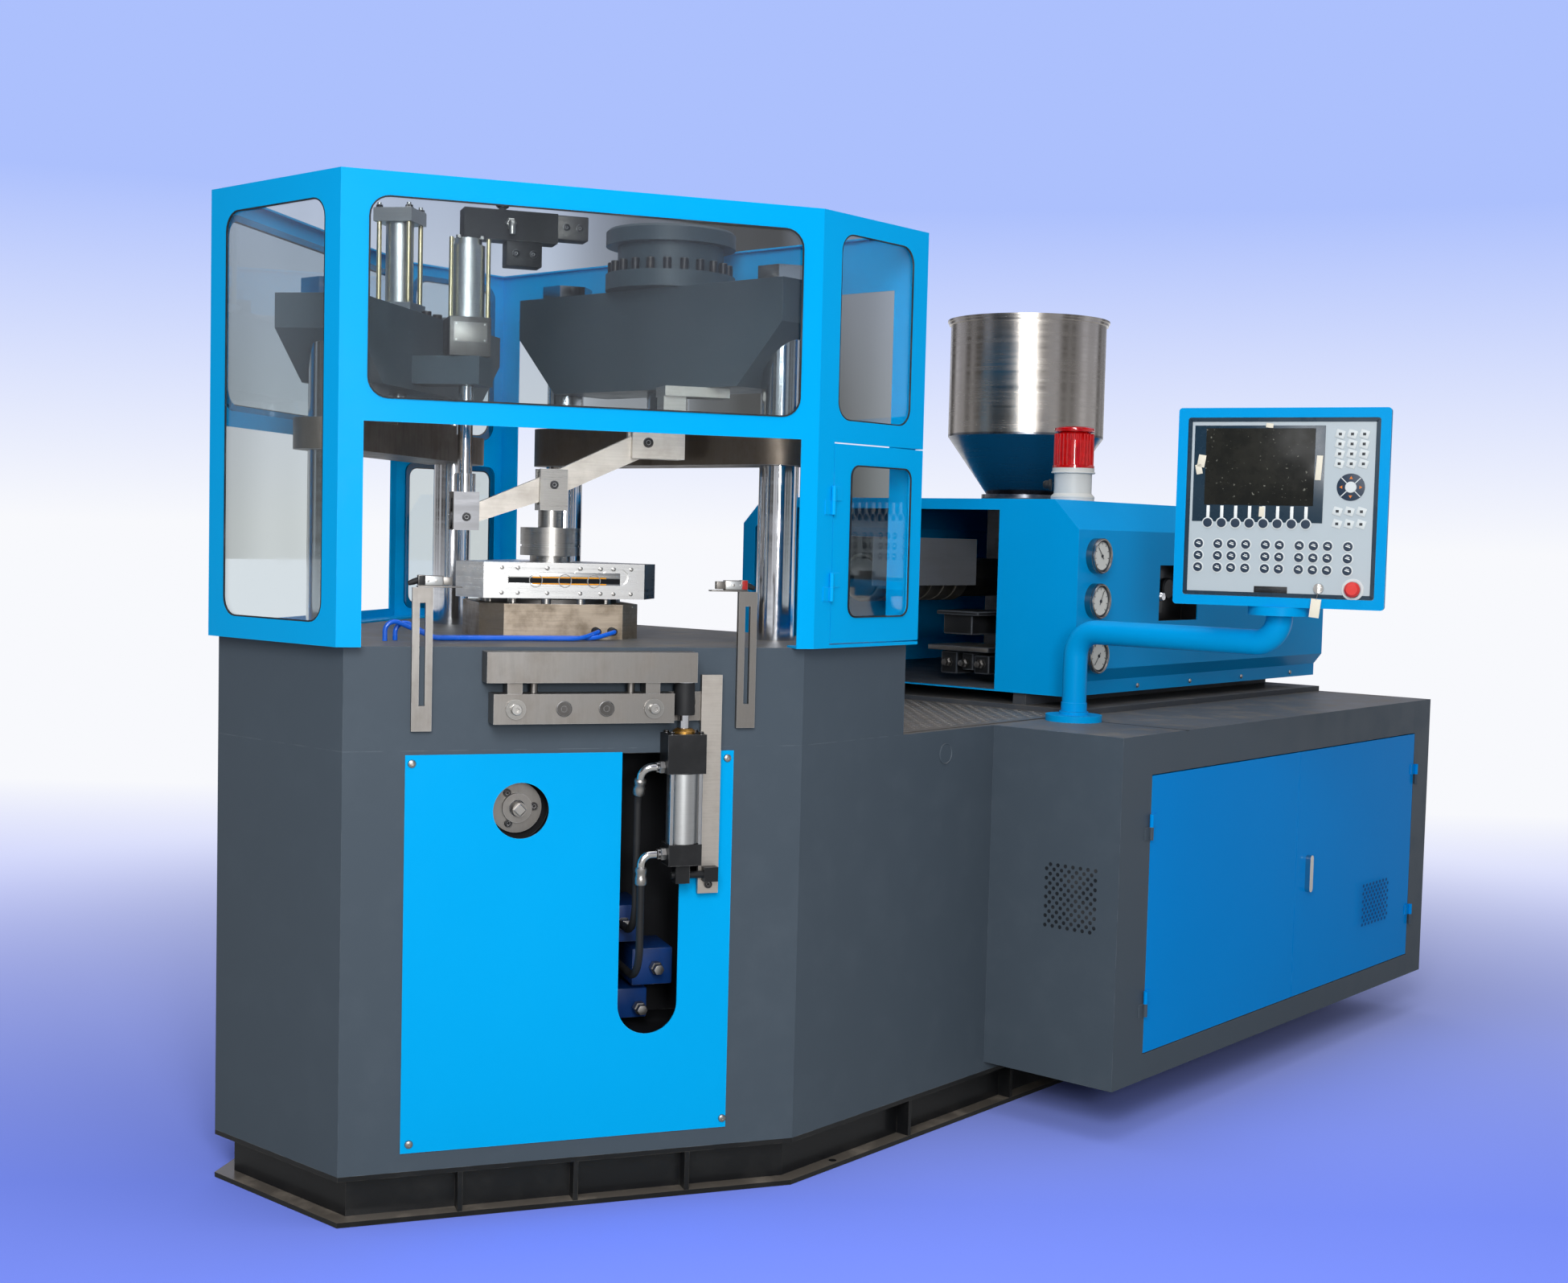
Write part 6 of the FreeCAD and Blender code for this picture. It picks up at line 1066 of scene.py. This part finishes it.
# terminal; a plate is x from and to, z from and to, rise, thickness, bevel and material
panelFace = -0.0563
terminalLook = {
    "screen": ((-0.197, 0.094, 1.4485, 1.6670, 0.0, 0.0010, 0.0004, 0),
               (-0.171, 0.073, 1.4865, 1.6610, 0.0010, 0.0008, 0.0004, 1)),
    "slot": ((-0.051, 0.023, 1.2890, 1.3035, 0.0, 0.0018, 0.0006, 0),
             (-0.046, 0.018, 1.2930, 1.2985, 0.0018, 0.0004, 0.0002, 1)),
    "border": (-0.2075, 0.2075, 1.2845, 1.6800, 0.002), "keyZ": (1.3975, 1.3705, 1.3435),
    "keyX": [-0.180, -0.136, -0.105, -0.073, -0.029, 0.002, 0.046, 0.077, 0.108, 0.152],
    "soft": (-0.161, 0.0313, 8, 1.4455), "padX": (0.126, 0.152, 0.178),
    "padZ": ((1.648, 1.626, 1.604, 1.582), (1.476, 1.448)), "cursor": (0.153, 1.530), "stop": (0.166, 1.302),
    "tag": (0.0925, -0.0795, 1.293)}


def plateOn(x0, x1, z0, z1, rise, thick, bevel, material):
    # a flat plate on the terminal's face
    return (addBlock, (x0, panelFace - rise - thick, z0), (x1, panelFace - rise, z1), bevel, terminalPlace,
            material)


makePiece("screen", "terminal", [petrolFilm, screenGlass],
          [plateOn(*plate) for plate in terminalLook["screen"]])
seal("panelBorder", terminalLook["border"], panelFace - 0.0006, terminalPlace, "terminal", 0.0012, 0.009,
     petrolFilm)
first, pitch, count, z = terminalLook["soft"]
softKeys = [(first + pitch * k, z) for k in range(count)]
padKeys = [(x, z) for heights in terminalLook["padZ"] for x in terminalLook["padX"] for z in heights]
keyPoints = [(terminalPlace, x, panelFace, z, out) for z in terminalLook["keyZ"]
             for x in terminalLook["keyX"]]
softPoints = [(terminalPlace, x, panelFace - 0.0010, z, out) for x, z in softKeys]
padPoints = [(terminalPlace, x, panelFace, z, out) for x, z in padKeys]
for name, piece, spots, material in (("keyRims", keyRim, keyPoints + softPoints, keyPale),
                                     ("keyDiscs", keyDisc, keyPoints + softPoints, keyFilm),
                                     ("keyMarks", keyMark, keyPoints, markPale),
                                     ("padKeys", keySquare, padPoints, keyPale)):
    growPiece(name, setOnPoints, {"Piece": piece, "Size": 1.0, "Material": material}, "terminal",
              source=pointMesh(spots))
makePiece("softKeyBars", "terminal", [markPale, markDark], [
    *(plateOn(x - 0.0036, x + 0.0036, 1.4580, 1.4850, 0.0010, 0.0005, 0.0002, 0) for x, z in softKeys),
    *(plateOn(x - 0.0035, x + 0.0035, z - 0.0032, z + 0.0032, 0.0014, 0.0003, 0.0001, 1)
      for x, z in padKeys)])
x, z = terminalLook["cursor"]
cursor = pointing(x, panelFace, z, out, terminalPlace)
forms = [(addTurned, [(0, 0), (0.0305, 0), (0.0305, 0.0008), (0.029, 0.0012), (0, 0.0012)], cursor, 40, 0),
         (addTurned, [(0, 0.0012), (0.0125, 0.0012), (0.0120, 0.0020), (0, 0.0022)], cursor, 28, 1)]
for k in range(4):
    arm, arrow = (cursor @ Matrix.Rotation(angle + k * math.pi / 2, 4, "Z") for angle in (math.pi / 4, 0))
    forms.append((addBlock, (0.0125, -0.0012, 0.0010), (0.0300, 0.0012, 0.0016), 0.0002, arm, 1))
    forms.append((addTurned, [(0, 0.0012), (0.0044, 0.0012), (0.0040, 0.0017), (0, 0.0017)],
                  moved(arrow, 0.0205, 0), 3, 2))
makePiece("cursorPad", "terminal", [keyFilm, keyPale, arrowOrange], forms)
makePiece("cardSlot", "terminal", [blackAnodised, sealRubber],
          [plateOn(*plate) for plate in terminalLook["slot"]])

# scraps of tape: x, z, half the width, half the height and how far each leans
tapes = [(-0.1795, 1.586, 0.0085, 0.014, 0.16), (-0.185, 1.567, 0.007, 0.011, -0.2),
         (0.0825, 1.5725, 0.0065, 0.0275, 0.06), (-0.029, 1.667, 0.008, 0.005, 0.1),
         (-0.040, 1.4725, 0.006, 0.0115, 0.04)]
makePiece("filmTape", "terminal", [paperTape], [
    (addBlock, (-across, 0, -tall), (across, 0.0003, tall), 0.0001,
     moved(terminalPlace, x, panelFace - 0.0022, z) @ Matrix.Rotation(lean, 4, "Y"))
    for x, z, across, tall, lean in tapes])
x, z = terminalLook["stop"]
makePiece("stopCollar", "terminal", [keyPale], [
    (addTurned, [(0.0182, 0.0), (0.0245, 0.0), (0.0245, 0.0012), (0.0232, 0.0022), (0.0182, 0.0022),
                 (0.0182, 0.0)], pointing(x, panelFace, z, out, terminalPlace), 40)])
tag = moved(terminalPlace, *terminalLook["tag"]) @ Matrix.Rotation(0.10, 4, "Y")
makePiece("keyTag", "key_switch", [paperTape, boltSteel], [
    (addBlock, (-0.011, -0.0004, -0.056), (0.011, 0.0004, -0.014), 0.0002, tag, 0),
    (addTube, [(0, 0.0006, 0.004), (0.0015, -0.0012, -0.006), (0, 0.0, -0.017)], 0.0006, 6, tag, 1)])
print("terminal dressed")

for piece in prototypes:
    bpy.data.objects.remove(piece)

# stage, lamps and camera
horizon = srgb(248, 249, 253)
stageLook = {"near": srgb(128, 148, 250), "band": (-1.5, 4.6), "fade": (1.9, 4.6), "far": (7.0, 15.0),
             "bounce": (0.42, 0.42, 0.42, 1), "mirror": srgb(176, 176, 176), "half": 60, "low": -0.001}


def shown(tree):
    # one where the eye, a mirror or a pane looks at the stage
    light = tree.nodes.new("ShaderNodeLightPath").outputs
    direct = maths(tree, light["Is Camera Ray"], light["Is Transmission Ray"], "MAXIMUM")
    return maths(tree, direct, light["Is Glossy Ray"], "MAXIMUM"), light["Is Glossy Ray"]


floorPaint, tree, shader = emptyMaterial("studioFloor")
seen, glossy = shown(tree)
spot = ownSpot(tree)
along = addNode(tree, "ShaderNodeVectorMath", {0: spot, 1: (-0.65, 0.76, 0)}, "Value",
                operation="DOT_PRODUCT")
near = mixColours(tree, glossy, stageLook["near"], stageLook["mirror"])
offset = addNode(tree, "ShaderNodeVectorMath", {0: spot, 1: (-0.3, 0.3, 0)})
away = addNode(tree, "ShaderNodeVectorMath", {0: offset}, "Value", operation="LENGTH")
whiter = maths(tree, ramp(tree, along, *stageLook["band"]), ramp(tree, away, *stageLook["far"]), "MAXIMUM")
pale = mixColours(tree, whiter, near, horizon)
setInputs(tree, shader, {"Base Color": mixColours(tree, seen, stageLook["bounce"], pale), "Roughness": 0.8,
          "Specular IOR Level": 0.0})
faded = ramp(tree, away, *stageLook["fade"], "SMOOTHSTEP")
glow = addNode(tree, "ShaderNodeEmission", {"Color": pale, "Strength": 1.0})
both = addNode(tree, "ShaderNodeMixShader", {0: maths(tree, faded, seen), 1: shader.outputs[0], 2: glow})
tree.links.new(both, tree.nodes["Material Output"].inputs["Surface"])
half, low = stageLook["half"], stageLook["low"]
mesh = bpy.data.meshes.new("studioFloor")
mesh.from_pydata([(-half, -half, low), (half, -half, low), (half, half, low), (-half, half, low)], [],
                 [(0, 1, 2, 3)])
floor = bpy.data.objects.new("studioFloor", mesh)
mesh.materials.append(floorPaint)
bpy.context.scene.collection.objects.link(floor)

world = bpy.data.worlds.new("studio")
bpy.context.scene.world = world
world.use_nodes = True
tree = world.node_tree
tree.nodes.clear()
seen, glossy = shown(tree)
way = addNode(tree, "ShaderNodeTexCoord", output="Generated")
backdrop = mixColours(tree, ramp(tree, heightOf(tree, way), 0.0, 0.17), horizon, srgb(172, 192, 253))
upright = addNode(tree, "ShaderNodeMapping", {"Vector": way, "Scale": (2.6, 2.6, 0.25)})
streaks = ramp(tree, noise(tree, upright, 1.0, 4, 0.6), 0.44, 0.60)
warm = mixColours(tree, 0.55, backdrop, (0.86, 0.84, 0.80, 1))
flags = mixColours(tree, streaks, (0.07, 0.065, 0.06, 1), warm)
room = mixColours(tree, seen, (0.36, 0.37, 0.39, 1), backdrop)
sky = mixColours(tree, glossy, room, flags)
background = addNode(tree, "ShaderNodeBackground", {"Color": sky, "Strength": 1.0})
tree.links.new(background, tree.nodes.new("ShaderNodeOutputWorld").inputs[0])

for name, spot, target, size, power in (("keyLamp", (3.4, -4.9, 3.2), (0.3, -1.5, 1.2), 1.8, 160),
                                        ("topLamp", (0.6, -0.6, 5.2), (0.3, -0.4, 1.0), 4.0, 95),
                                        ("frontLamp", (3.9, -4.1, 1.7), (0.3, -0.9, 1.2), 0.6, 62)):
    data = bpy.data.lights.new(name, "AREA")
    data.shape = "RECTANGLE"
    data.size = data.size_y = size
    data.energy = power
    lamp = bpy.data.objects.new(name, data)
    lamp.location = spot
    lamp.rotation_euler = (Vector(target) - Vector(spot)).to_track_quat("-Z", "Y").to_euler()
    bpy.context.scene.collection.objects.link(lamp)

bearing = {"yaw": 40.54, "pitch": -3.20, "roll": 1.42, "lens": 43.22, "spot": (3.243, -4.312, 1.390)}
yaw, pitch, roll = (math.radians(bearing[key]) for key in ("yaw", "pitch", "roll"))
ahead = Vector((-math.sin(yaw) * math.cos(pitch), math.cos(yaw) * math.cos(pitch), math.sin(pitch)))
side = Vector((math.cos(yaw), math.sin(yaw), 0))
above = side.cross(ahead)
across = side * math.cos(roll) + above * math.sin(roll)
upwards = above * math.cos(roll) - side * math.sin(roll)
camera = bpy.data.objects.new("camera", bpy.data.cameras.new("camera"))
camera.data.sensor_width = 36
camera.data.lens = bearing["lens"]
camera.data.clip_end = 200
turn = Matrix((across, upwards, -ahead)).transposed().to_4x4()
camera.matrix_world = Matrix.Translation(bearing["spot"]) @ turn
bpy.context.scene.collection.objects.link(camera)
bpy.context.scene.camera = camera
bpy.context.scene.view_settings.view_transform = "Standard"

print("scene ready")
